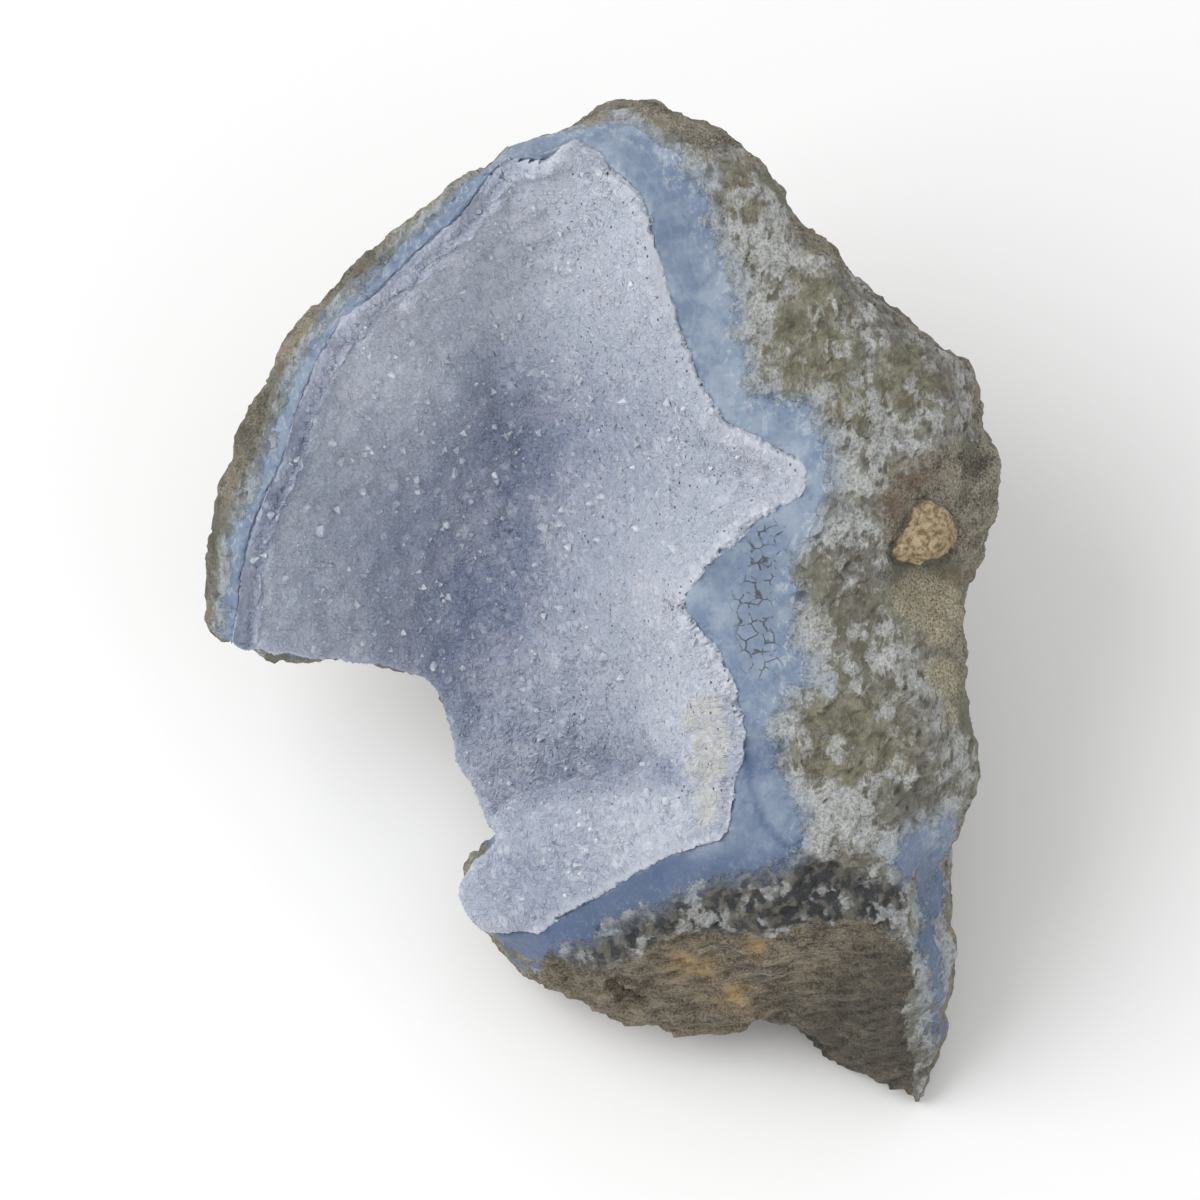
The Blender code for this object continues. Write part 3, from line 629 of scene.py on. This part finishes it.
class Finish:
    """One material. Sizes are in millimetres, and colours go by the names of their settings."""

    def __init__(self, name, colours):
        self.colours = colours
        self.material = bpy.data.materials.new(name)
        self.material.use_nodes = True
        scale = (1 / MM, 1 / MM, 1 / MM)
        self.place = self.turned(self.add("ShaderNodeTexCoord", "Object", {}), (0, 0, 0), scale)

    def add(self, kind, output, inputs, **settings):
        """Adds a node and gives back one of its outputs."""
        node = self.material.node_tree.nodes.new(kind)
        for key, value in settings.items():
            setattr(node, key, value)
        for key, value in inputs.items():
            self.put(node, key, value)
        return Value(self, node, output)

    def put(self, node, key, value):
        socket = node.inputs[key]
        if isinstance(value, Value):
            self.material.node_tree.links.new(value.socket, socket)
        elif isinstance(value, str):
            socket.default_value = (*getattr(self.colours, value), 1)
        else:
            socket.default_value = value

    def surface(self, **values):
        """Sets the shader's own inputs, such as base_color for Base Color, and gives back the material."""
        shader = self.material.node_tree.nodes["Principled BSDF"]
        for key, value in values.items():
            self.put(shader, key.replace("_", " ").title().replace("Ior", "IOR"), value)
        return self.material

    def turned(self, place, rotation, scale):
        inputs = {"Vector": place, "Rotation": rotation, "Scale": scale}
        return self.add("ShaderNodeMapping", "Vector", inputs)

    def attribute(self, name):
        return self.add("ShaderNodeAttribute", "Fac", {}, attribute_name=name)

    def noise(self, size, roughness=0.5, detail=3.0, place=None):
        inputs = {"Vector": place or self.place, "Scale": 1 / size, "Detail": detail, "Roughness": roughness}
        return self.add("ShaderNodeTexNoise", "Fac", inputs)

    def cells(self, size, place, distance="EUCLIDEAN", feature="F1"):
        inputs = {"Vector": place, "Scale": 1 / size}
        return self.add("ShaderNodeTexVoronoi", "Distance", inputs, feature=feature, distance=distance)

    def drawn(self, cells, channel, least):
        """1 in the cells whose random colour passes the least in one channel, and 0 in the rest."""
        draw = self.add("ShaderNodeSeparateColor", channel, {0: cells.other("Color")})
        return self.maths("GREATER_THAN", draw, least)

    def warped(self, amount, size):
        """The place, pushed about by soft noise."""
        cloud = self.noise(size, 0.5, 1.0).other("Color")
        push = self.add("ShaderNodeVectorMath", 0, {0: cloud, 1: (0.5, 0.5, 0.5)}, operation="SUBTRACT")
        scaled = self.add("ShaderNodeVectorMath", 0, {0: push, "Scale": amount}, operation="SCALE")
        return self.add("ShaderNodeVectorMath", 0, {0: self.place, 1: scaled}, operation="ADD")

    def maths(self, operation, *values):
        return self.add("ShaderNodeMath", 0, dict(enumerate(values)), operation=operation)

    def from_middle(self, value):
        """How far a noise is from its middle value, which is small along thin winding lines."""
        return self.maths("ABSOLUTE", value - 0.5)

    def fade(self, value, low, high, start=0.0, end=1.0):
        inputs = {"Value": value, "From Min": low, "From Max": high, "To Min": start, "To Max": end}
        return self.add("ShaderNodeMapRange", "Result", inputs, interpolation_type="SMOOTHSTEP")

    def blend(self, share, first, second):
        return self.add("ShaderNodeMix", 2, {0: share, 6: first, 7: second}, data_type="RGBA")

    def level(self, share, first, second):
        return self.add("ShaderNodeMix", 0, {0: share, 2: first, 3: second})

    def bump(self, height, distance, strength):
        inputs = {"Height": height, "Distance": distance * MM, "Strength": strength}
        return self.add("ShaderNodeBump", "Normal", inputs)


class RockFinish(Finish):
    """The stone's one material, with the noises that its kinds of rock share."""

    def __init__(self, colours):
        super().__init__("rock and blue chalcedony", colours)
        self.ragged = self.noise(1.3, 0.7) + self.noise(4.5, 0.6, 1.0) - 1.0
        self.fine = self.noise(0.45, 0.75)
        self.cloud = self.noise(5.5)
        self.haze = self.noise(1.6, 0.65)
        slanted = self.turned(self.warped(2.0, 5.0), (0.3, 0.2, 0.9), (1.0, 0.42, 1.0))
        self.shards = self.noise(1.8, 0.6, 4.0, slanted)
        self.wisps = self.fade(self.from_middle(self.shards), 0.05, 0.0)
        self.grain = self.noise(0.42, 0.8)
        self.grit = self.noise(0.36, 0.85)
        self.bent = self.warped(4.0, 6.0)
        self.beds = self.noise(1.5, 0.7, 3.0, self.turned(self.bent, (0.42, 0.10, 0.0), (0.3, 0.6, 0.9)))
        self.band = self.attribute("chalcedony")
        self.dim = self.attribute("dim")

    def region(self, name, wobble, soft):
        """Share of one kind of rock, whose edge wanders by the wobble and fades over twice the softness."""
        return self.fade(self.maths("MULTIPLY_ADD", self.ragged, wobble, self.attribute(name)), -soft, soft)


def chalcedony(f):
    """Milky clouds with faint bands along the hollow, pale wisps towards the quartz and a web of cracks."""
    milky = f.fade(f.cloud * 0.72 + f.haze * 0.28, 0.38, 0.62)
    blue = f.blend(milky, "chalcedony_deep", "chalcedony_pale")
    waves = f.maths("SINE", f.attribute("rim") * 2.6 + f.cloud * 14.0)
    blue = f.blend(f.fade(waves, 0.55, 1.0, 0.0, 0.25), blue, "chalcedony_pale")
    # Darker blue to the left, in patches and along streaks, and painted shade low down below the ledge.
    deep_blue_and_shade = f.attribute("deep_blue_and_shade")
    blue = f.blend(deep_blue_and_shade, blue, "chalcedony_dark_and_shade")

    outer = f.fade(f.band, 4.5, 0.3, 0.06, 0.55) * f.fade(deep_blue_and_shade, 0.1, 0.6, 1.0, 0.25)
    blue = f.blend(f.wisps * (outer * f.fade(f.haze, 0.42, 0.56)), blue, "quartz_white")

    cracked = f.attribute("cracks")
    webs = f.cells(2.0, f.warped(1.6, 2.4), feature="DISTANCE_TO_EDGE")
    web = f.fade(webs, 0.085, 0.02) * (cracked * f.fade(f.haze, 0.44, 0.54))
    blue = f.blend(cracked * f.fade(f.cloud, 0.40, 0.6, 0.0, 0.4), blue, "chalcedony_dark_and_shade")
    return f.blend(web * 0.9, blue, "crack")


def glassy_quartz(f, smoky, olive):
    """What lies under the veils: grey, olive, dim and smoky quartz."""
    grey = f.blend(f.fade(f.haze, 0.38, 0.62), "quartz_shade", "quartz_grey")
    mossy = f.blend(f.fade(f.noise(2.4, 0.65), 0.40, 0.60), "quartz_olive", "quartz_moss")
    grey = f.blend(f.fade(olive + f.ragged * 0.5, 0.12, 0.6), grey, mossy)
    grey = f.blend(f.dim * 0.7, grey, "quartz_dim")
    soot = f.blend(f.fade(f.shards, 0.47, 0.60), "quartz_smoky", "quartz_dim")
    return f.blend(smoky, grey, soot)


def quartz(f):
    """Pale veils and feathery wisps over the glassy quartz, with some blue next to the band."""
    veil = f.noise(4.2, 0.62)
    olive = f.attribute("olive")
    smoky = f.region("smoky", 5.0, 0.8)
    lifted = f.attribute("milky") * 0.15 + f.fade(f.band, -5.0, -0.5, 0.0, 0.04)
    cover = veil + lifted - (olive * 0.12 + f.dim * 0.07) + (f.shards - 0.5) * 0.7
    less_white = f.level(smoky, 1.0, f.fade(veil, 0.50, 0.62, 0.04, 0.7))

    white = f.fade(cover, 0.475, 0.62, 0.0, 0.78) * less_white
    # Pale shards, with painted shade on their sides.
    pale = f.blend(f.fade(f.fine, 0.36, 0.64), "quartz_flake_shade", "quartz_white")
    stone = f.blend(white, glassy_quartz(f, smoky, olive), pale)
    stone = f.blend(f.wisps * f.fade(cover, 0.36, 0.54, 0.1, 0.5) * less_white, stone, "quartz_white")
    stone = f.blend(f.fade(f.fine, 0.46, 0.30, 0.0, 0.45), stone, "quartz_shade")
    near_band = f.fade(f.band + f.ragged * 5.0, -3.6, -0.2, 0.0, 0.6)
    return f.blend(near_band * f.fade(white, 0.0, 1.0, 0.6, 1.0), stone, "chalcedony_pale")


def skin(f):
    """Weathered skin: grey brown grains with darker hollows, sandy parts and rusty spots."""
    lumps = f.noise(4.5, 0.6, 2.0)
    stone = f.blend(f.fade(f.grain + lumps * 0.6, 0.62, 1.0), "skin_dark", "skin_pale")
    stone = f.blend(f.fade(f.noise(11.0, 0.5, 1.0), 0.5, 0.66, 0.0, 0.8), stone, "skin_green")
    rusty = f.maths("MAXIMUM", f.fade(lumps, 0.58, 0.70, 0.0, 0.5), f.attribute("rust") * 0.8)
    stone = f.blend(rusty * f.fade(f.grain, 0.35, 0.6, 0.5, 1.0), stone, "skin_rust")
    sandy = f.blend(f.fade(f.grain, 0.32, 0.66), "sandy_dark", "sandy_pale")
    stone = f.blend(f.fade(f.attribute("sandy"), 0.25, 0.6), stone, sandy)
    return f.blend(f.dim * 0.5, stone, "skin_dark")


def sandstone(f):
    """Grit in thin beds, greyer down to the right, with dark seams and ochre patches."""
    patchy = f.noise(3.5, 0.65, 2.0)
    lower = f.attribute("lower_beds")
    mixed = f.beds * 0.28 + f.grit * 0.55 + patchy * 0.25 - lower * 0.04
    stone = f.blend(f.fade(mixed, 0.42, 0.66), "sand_dark", "sand_pale")
    stone = f.blend(lower * 0.5, stone, "sand_grey")

    seams = f.noise(3.0, 0.6, 3.0, f.turned(f.bent, (0.42, 0.14, 0.0), (0.16, 0.7, 0.9)))
    seam = f.fade(f.from_middle(seams), 0.022, 0.004) * f.fade(patchy, 0.42, 0.56, 0.0, 0.75)
    stone = f.blend(seam, stone, "crack")
    stained = f.attribute("ochre") * f.fade(f.grit + patchy, 0.85, 1.1, 0.3, 0.95)
    return f.blend(stained, stone, "ochre")


def rock_finish(colours):
    """The stone's material, with each kind of rock laid over the one before it."""
    f = RockFinish(colours)
    in_band = f.region("chalcedony", 5.5, 0.7)
    in_skin = f.region("weathered", 5.0, 1.2)
    in_sand = f.region("sandstone", 3.4, 0.3)
    whole = f.blend(in_band, quartz(f), chalcedony(f))
    whole = f.blend(in_skin, whole, skin(f))
    whole = f.blend(in_sand, whole, sandstone(f))
    whole = f.blend(f.fade(f.attribute("pebble"), -1.1, -0.1, 0.0, 0.55), whole, "skin_dark")
    pebble = f.blend(f.fade(f.noise(0.9, 0.7), 0.34, 0.62), "pebble_dark", "pebble_pale")
    whole = f.blend(f.region("pebble", 0.7, 0.15), whole, pebble)

    dull = f.maths("MAXIMUM", in_skin, in_sand)
    shine = f.level(in_band, f.fade(f.shards, 0.4, 0.6, 0.55, 0.3), 0.42)
    broken_relief = f.level(in_band, f.shards + f.fine * 0.5, f.haze * 0.3)
    earthy_relief = f.level(in_sand, f.grain, f.grit + f.beds)
    return f.surface(
        base_color=whole, roughness=f.level(dull, shine, 0.88), specular_ior_level=0.45,
        normal=f.bump(f.level(dull, broken_relief, earthy_relief), 0.9, 0.8),
    )


def druse_finish(colours):
    """Sugary lavender quartz: soft in depth, bluer and with painted shade down in the hollow, painted light
    in a few patches, painted glints and a few dark specks.
    """
    f = Finish("lavender druse", colours)
    # Bluer down in the hollow, with the painted shade and painted light that the deep attribute carries.
    base = f.blend(f.attribute("deep"), "druse_pale", "druse_deep_and_shade")
    base = f.blend(f.fade(f.noise(9.0, 0.5, 1.0), 0.40, 0.70, 0.0, 0.35), base, "druse_warm")
    base = f.blend(f.attribute("edge"), base, "druse_edge_and_glint")

    # The broken edge of the crystal shell.
    broken = f.attribute("shell_edge") + (f.noise(1.8, 0.7) - 0.5) * 5.0
    creamy = f.attribute("cream") * f.fade(f.noise(2.0, 0.65), 0.34, 0.54, 0.35, 1.0)
    shell = f.blend(creamy, "shell_edge", "shell_cream")
    base = f.blend(f.fade(broken, -0.3, 0.6, 0.0, 0.9), base, shell)

    # Painted glints: single faces painted pale as if they caught the light, and the grain between them.
    for size, turn, share in GLINTS:
        facets = f.cells(size, f.turned(f.place, (0.5, turn, turn), (1.0, 0.7, 1.0)), "CHEBYCHEV")
        base = f.blend(f.fade(facets, 0.34, 0.24, 0.0, 0.24) * f.drawn(facets, 1, share), base, "druse_edge_and_glint")
    grain = f.noise(0.5, 0.7)
    base = f.blend(f.fade(grain, 0.50, 0.70, 0.0, 0.16), base, "druse_edge_and_glint")
    # Painted shade of the gaps between the fine crystals, laid by random noise.
    base = f.blend(f.fade(grain, 0.46, 0.30, 0.0, 0.09), base, "druse_gap_shade")

    spots = f.cells(1.0, f.turned(f.place, (0.0, 0.0, 0.6), (1.0, 0.6, 1.0)))
    speck = f.fade(spots, 0.20, 0.12) * (f.drawn(spots, 0, 0.5) * f.attribute("specked"))
    return f.surface(
        base_color=f.blend(speck * 0.85, base, "speck"), roughness=f.fade(grain, 0.35, 0.65, 0.22, 0.5),
        specular_ior_level=0.5, normal=f.bump(grain, 0.15, 0.5), subsurface_weight=0.4,
        subsurface_radius=QUARTZ_GLOW, subsurface_scale=QUARTZ_GLOW_REACH,
    )


def crystal_finish(colours):
    """Clear colourless quartz points."""
    f = Finish("clear quartz points", colours)
    haze = f.noise(1.2, 0.6)
    return f.surface(
        base_color=f.blend(f.fade(haze, 0.40, 0.75), "druse_pale", "druse_edge_and_glint"),
        roughness=f.fade(haze, 0.35, 0.65, 0.08, 0.3), specular_ior_level=0.6, subsurface_weight=0.3,
        subsurface_radius=QUARTZ_GLOW, subsurface_scale=QUARTZ_GLOW_REACH,
    )


def floor_finish(colours):
    f = Finish("plain pale floor", colours)
    shaded = (*[0.985 * channel for channel in colours.floor], 1)
    mottled = f.blend(f.noise(400.0, 0.5, 2.0), "floor", shaded)
    return f.surface(base_color=mottled, roughness=0.9, specular_ior_level=0.1)


class GeodeRockSettings(bpy.types.PropertyGroup):
    cell: FloatProperty(
        name="Cell", description="Size of the mesh cells", default=0.82 * MM, min=0.5 * MM, unit="LENGTH",
    )
    chip_depth: FloatProperty(
        name="Chip depth", description="Height of chips on fresh quartz", default=0.75 * MM, unit="LENGTH",
    )
    lump_depth: FloatProperty(
        name="Lump depth", description="Height of the weathered lumps", default=0.9 * MM, unit="LENGTH",
    )
    chalcedony_pale: colour("Chalcedony, pale", "Milky clouds of the blue band", 145, 159, 176)
    chalcedony_deep: colour("Chalcedony, deep", "Clear parts of the blue band", 112, 129, 154)
    # Dark blue, also used as painted shade where the band turns away below the ledge.
    chalcedony_dark_and_shade: colour("Chalcedony, dark", "Blue band where it turns away below the ledge", 74, 92, 124)
    crack: colour("Cracks", "Web of fine cracks in the blue band", 62, 66, 66)
    quartz_white: colour("Quartz, white", "Pale shards of the fresh break", 196, 199, 199)
    quartz_grey: colour("Quartz, grey", "Glassy grey quartz", 132, 131, 122)
    quartz_shade: colour("Quartz, shade", "Darker quartz between the shards", 92, 88, 78)
    # Painted shade on the sides of the pale shards.
    quartz_flake_shade: colour("Quartz, flakes", "Shaded sides of the pale shards", 146, 148, 146)
    quartz_olive: colour("Quartz, olive", "Olive patches", 126, 124, 104)
    quartz_moss: colour("Quartz, moss", "Browner parts of the olive patches", 100, 96, 80)
    quartz_dim: colour("Quartz, dim", "Dim glassy patches", 96, 93, 84)
    quartz_smoky: colour("Quartz, smoky", "Nearly black quartz above the sandstone", 46, 48, 50)
    skin_pale: colour("Skin, pale", "Weathered skin", 180, 173, 156)
    skin_dark: colour("Skin, dark", "Hollows of the weathered skin", 82, 78, 68)
    skin_green: colour("Skin, green", "Greenish patches of the skin", 118, 120, 104)
    skin_rust: colour("Skin, rust", "Rusty patches of the skin", 112, 88, 68)
    sandy_pale: colour("Sandy skin, pale", "Sandy patches of the skin", 206, 197, 172)
    sandy_dark: colour("Sandy skin, dark", "Hollows of the sandy patches", 104, 96, 78)
    sand_pale: colour("Sandstone, pale", "Bedded brown rock", 166, 155, 134)
    sand_dark: colour("Sandstone, dark", "Dark beds of the brown rock", 74, 68, 59)
    sand_grey: colour("Sandstone, grey", "Greyer beds down to the right", 88, 84, 78)
    ochre: colour("Ochre", "Ochre patches of the brown rock", 190, 162, 116)
    pebble_pale: colour("Pebble, pale", "Tan pebble in the skin", 194, 175, 142)
    pebble_dark: colour("Pebble, dark", "Pits of the tan pebble", 128, 108, 76)


class GeodeDruseSettings(bpy.types.PropertyGroup):
    cell: FloatProperty(
        name="Cell", description="Size of the mesh cells that the fine crystals grow on", default=0.55 * MM,
        min=0.4 * MM, unit="LENGTH",
    )
    share_kept: FloatProperty(
        name="Share kept", description="Share of the fine cells that become crystals", default=0.42, min=0.05,
        max=1.0, subtype="FACTOR",
    )
    point_height: FloatProperty(
        name="Point height", description="Height of a fine crystal against its width", default=0.23, min=0.0,
        max=2.0, subtype="FACTOR",
    )
    crystals: IntProperty(
        name="Large crystals", description="Number of larger crystals", default=560, min=0,
    )
    crystal_radius: FloatProperty(
        name="Crystal radius", description="Radius of a larger crystal", default=0.85 * MM, unit="LENGTH",
    )
    druse_pale: colour("Druse, pale", "Druse near the rim", 181, 187, 199)
    # Also painted shade down in the hollow.
    druse_deep_and_shade: colour("Druse, deep", "Druse down in the valley", 124, 134, 158)
    druse_warm: colour("Druse, warm", "Pinkish clouds of the druse", 183, 183, 196)
    # Also the colour of painted glints.
    druse_edge_and_glint: colour("Druse, edge", "Clear points and the broken edge", 224, 228, 232)
    # Painted shade of the gaps between the fine crystals.
    druse_gap_shade: colour("Druse, hollows", "Gaps between the fine crystals", 120, 126, 148)
    shell_edge: colour("Shell edge", "Broken edge of the crystal shell", 166, 171, 185)
    shell_cream: colour("Shell edge, cream", "Cream patches of the broken shell edge", 184, 185, 182)
    speck: colour("Specks", "Tiny dark specks", 60, 58, 62)


class GeodeStageSettings(bpy.types.PropertyGroup):
    floor: colour("Floor", "Colour of the plain floor", 248, 248, 248)
    floor_reach: FloatProperty(
        name="Floor reach", description="Half the width of the floor", default=3.0, unit="LENGTH",
    )
    key: FloatProperty(name="Key", description="Power of the soft main light", default=4.1, unit="POWER")
    fill: FloatProperty(name="Fill", description="Power of the soft second light", default=1.2, unit="POWER")
    sky: FloatProperty(name="Sky", description="Strength of the even light all round", default=0.68, min=0.0)
    distance: FloatProperty(
        name="Camera distance", description="Distance to the broken face", default=2.0, unit="LENGTH",
    )
    view_width: FloatProperty(
        name="View width", description="Width of the picture at the broken face", default=0.18, unit="LENGTH",
    )
    elevation: FloatProperty(
        name="Elevation", description="Angle of the camera above the horizon", default=math.radians(65),
        subtype="ANGLE",
    )


class GEODE_OT_host_rock(bpy.types.Operator):
    """Build the lump of host rock round the hollow"""

    bl_idname = "geode.host_rock"
    bl_label = "Host rock"

    def execute(self, context):
        settings = context.scene.geode_rock
        rock = merged_copy(ROCK_NODE, "host_rock")
        remesh(rock, settings.cell, ROCK_SMOOTHING)
        points = read_points(rock.data)
        normals = read_normals(rock.data)
        places = face_axes(points)[:, :2]
        facing = normals @ FACE_OUT
        rim = distance_to(tree_of(CRUST_NODE), points, CRUST_REACH)

        regions = rock_regions(places, facing, rim)
        depths = settings.chip_depth / MM, settings.lump_depth / MM
        height = rock_relief(points, places, facing, regions, *depths)
        points = points + normals * height[:, None]
        points[:, 2] = np.maximum(points[:, 2], 0.0)
        write_points(rock.data, points)
        write_attributes(rock.data, regions)
        finish_piece(rock, rock_finish(settings), ROCK_NODE)
        return {"FINISHED"}


class GEODE_OT_druse(bpy.types.Operator):
    """Build the crust of fine crystals that lines the hollow"""

    bl_idname = "geode.druse"
    bl_label = "Druse"

    def execute(self, context):
        settings = context.scene.geode_druse
        rng = np.random.default_rng(DRUSE_SEED)
        bed_tree = tree_of(ROCK_NODE)
        druse = merged_copy(CRUST_NODE, "druse")
        remesh(druse, settings.cell, DRUSE_SMOOTHING)
        points = read_points(druse.data)
        normals = read_normals(druse.data)
        points = points + normals * DRUSE_GROWTH
        points = meet_the_face(points, normals, bed_tree, rng)

        places = face_axes(points)[:, :2]
        ridge = np.exp(-((line_distance(places, RIDGE_LINE) / RIDGE_HALF_WIDTH) ** 2))
        ridge = RIDGE_HEIGHT * ridge * fade(normals @ FACE_OUT, 0.0, 0.3)
        waves = 0.22 * smooth_noise(points, 4.0, 51)
        points = points + normals * (ridge + waves + rng.uniform(-0.06, 0.06, len(points)))[:, None]
        write_points(druse.data, points)
        thin = druse.modifiers.new("irregular", "DECIMATE")
        thin.ratio = settings.share_kept
        apply_modifiers(druse)

        grow_fine_crystals(druse, bed_tree, settings.point_height, rng)
        write_attributes(druse.data, druse_tints(face_axes(read_points(druse.data))))
        finish_piece(druse, druse_finish(settings), CRUST_NODE)
        return {"FINISHED"}


class GEODE_OT_large_crystals(bpy.types.Operator):
    """Stand larger clear crystals among the fine ones"""

    bl_idname = "geode.large_crystals"
    bl_label = "Large crystals"

    def execute(self, context):
        settings = context.scene.geode_druse
        rng = np.random.default_rng(CRYSTAL_SEED)
        tree = search_tree(bpy.data.objects["druse"])
        bm = bmesh.new()
        stood = 0
        while stood < settings.crystals:
            place = rng.uniform(*CRYSTAL_FIELD)
            if rim_depth(place[None, :])[0] < CRYSTAL_TO_RIM:
                continue
            ring = []
            for turn in range(6):
                angle = math.radians(60 * turn)
                offset = (FACE_RIGHT * math.cos(angle) + FACE_UP * math.sin(angle)) * FOOT_RING
                start = FACE_ORIGIN + FACE_RIGHT * place[0] + FACE_UP * place[1] + FACE_OUT * RAY_START
                ring.append(tree.ray_cast(Vector((start + offset) * MM), Vector(-FACE_OUT))[0])
            if None in ring:
                stood += MISS_COST
                continue
            stand_crystal(bm, ring, settings.crystal_radius, rng)
            stood += 1
        crystals = new_object("large_crystals", bm)
        finish_piece(crystals, crystal_finish(settings), None)
        return {"FINISHED"}


class GEODE_OT_stage(bpy.types.Operator):
    """Set out the plain floor, the soft lights and the camera"""

    bl_idname = "geode.stage"
    bl_label = "Stage"

    def execute(self, context):
        settings = context.scene.geode_stage
        scene = context.scene
        bm = bmesh.new()
        bmesh.ops.create_grid(bm, x_segments=8, y_segments=8, size=settings.floor_reach)
        floor = new_object("floor", bm)
        floor.data.materials.append(floor_finish(settings))

        middle = Vector(FACE_ORIGIN * MM)
        right, up, out = Vector(FACE_RIGHT), Vector(FACE_UP), Vector(FACE_OUT)
        for name, (to_right, to_up, to_out), reach, size, power in (
            ("key light", KEY_WAY, KEY_REACH, KEY_SIZE, settings.key),
            ("fill light", FILL_WAY, FILL_REACH, FILL_SIZE, settings.fill),
        ):
            way = (to_right * right + to_up * up + to_out * out).normalized()
            lamp = bpy.data.lights.new(name, "AREA")
            lamp.shape = "DISK"
            lamp.size = size
            lamp.energy = power
            self.aim(scene, bpy.data.objects.new(name, lamp), middle, way, reach)

        world = bpy.data.worlds.new("even light")
        world.use_nodes = True
        background = world.node_tree.nodes["Background"]
        background.inputs["Color"].default_value = (1.0, 1.0, 1.0, 1.0)
        background.inputs["Strength"].default_value = settings.sky
        scene.world = world

        camera_data = bpy.data.cameras.new("camera")
        camera_data.sensor_width = SENSOR_WIDTH
        camera_data.lens = SENSOR_WIDTH * settings.distance / settings.view_width
        camera_data.clip_start = 0.05
        camera_data.clip_end = 20.0
        camera = bpy.data.objects.new("camera", camera_data)
        back = Vector((0.0, -math.cos(settings.elevation), math.sin(settings.elevation)))
        self.aim(scene, camera, middle, back, settings.distance)
        scene.camera = camera
        scene.view_settings.view_transform = "Standard"
        return {"FINISHED"}

    def aim(self, scene, obj, middle, way, reach):
        """Puts a light or camera the reach away from the middle, looking back at it."""
        obj.location = middle + way * reach
        obj.rotation_mode = "QUATERNION"
        obj.rotation_quaternion = (-way).to_track_quat("-Z", "Y")
        scene.collection.objects.link(obj)


class GEODE_PT_panel(bpy.types.Panel):
    """Sizes, colours and build steps of the geode"""

    bl_label = "Blue lace agate geode"
    bl_idname = "GEODE_PT_panel"
    bl_space_type = "VIEW_3D"
    bl_region_type = "UI"
    bl_category = "Geode"

    def draw(self, context):
        scene = context.scene
        for title, settings, operators in (
            ("Host rock", scene.geode_rock, ["geode.host_rock"]),
            ("Druse", scene.geode_druse, ["geode.druse", "geode.large_crystals"]),
            ("Stage", scene.geode_stage, ["geode.stage"]),
        ):
            box = self.layout.box()
            box.label(text=title)
            for name in settings.bl_rna.properties.keys():
                if name not in ("rna_type", "name"):
                    box.prop(settings, name)
            for operator in operators:
                box.operator(operator)


CLASSES = (
    GeodeRockSettings, GeodeDruseSettings, GeodeStageSettings, GEODE_OT_host_rock, GEODE_OT_druse,
    GEODE_OT_large_crystals, GEODE_OT_stage, GEODE_PT_panel,
)


def register():
    for entry in CLASSES:
        bpy.utils.register_class(entry)
    bpy.types.Scene.geode_rock = PointerProperty(type=GeodeRockSettings)
    bpy.types.Scene.geode_druse = PointerProperty(type=GeodeDruseSettings)
    bpy.types.Scene.geode_stage = PointerProperty(type=GeodeStageSettings)


def unregister():
    del bpy.types.Scene.geode_stage
    del bpy.types.Scene.geode_druse
    del bpy.types.Scene.geode_rock
    for entry in reversed(CLASSES):
        bpy.utils.unregister_class(entry)


def main():
    register()
    bpy.ops.geode.host_rock()
    bpy.ops.geode.druse()
    bpy.ops.geode.large_crystals()
    bpy.ops.geode.stage()


if __name__ == "__main__":
    main()
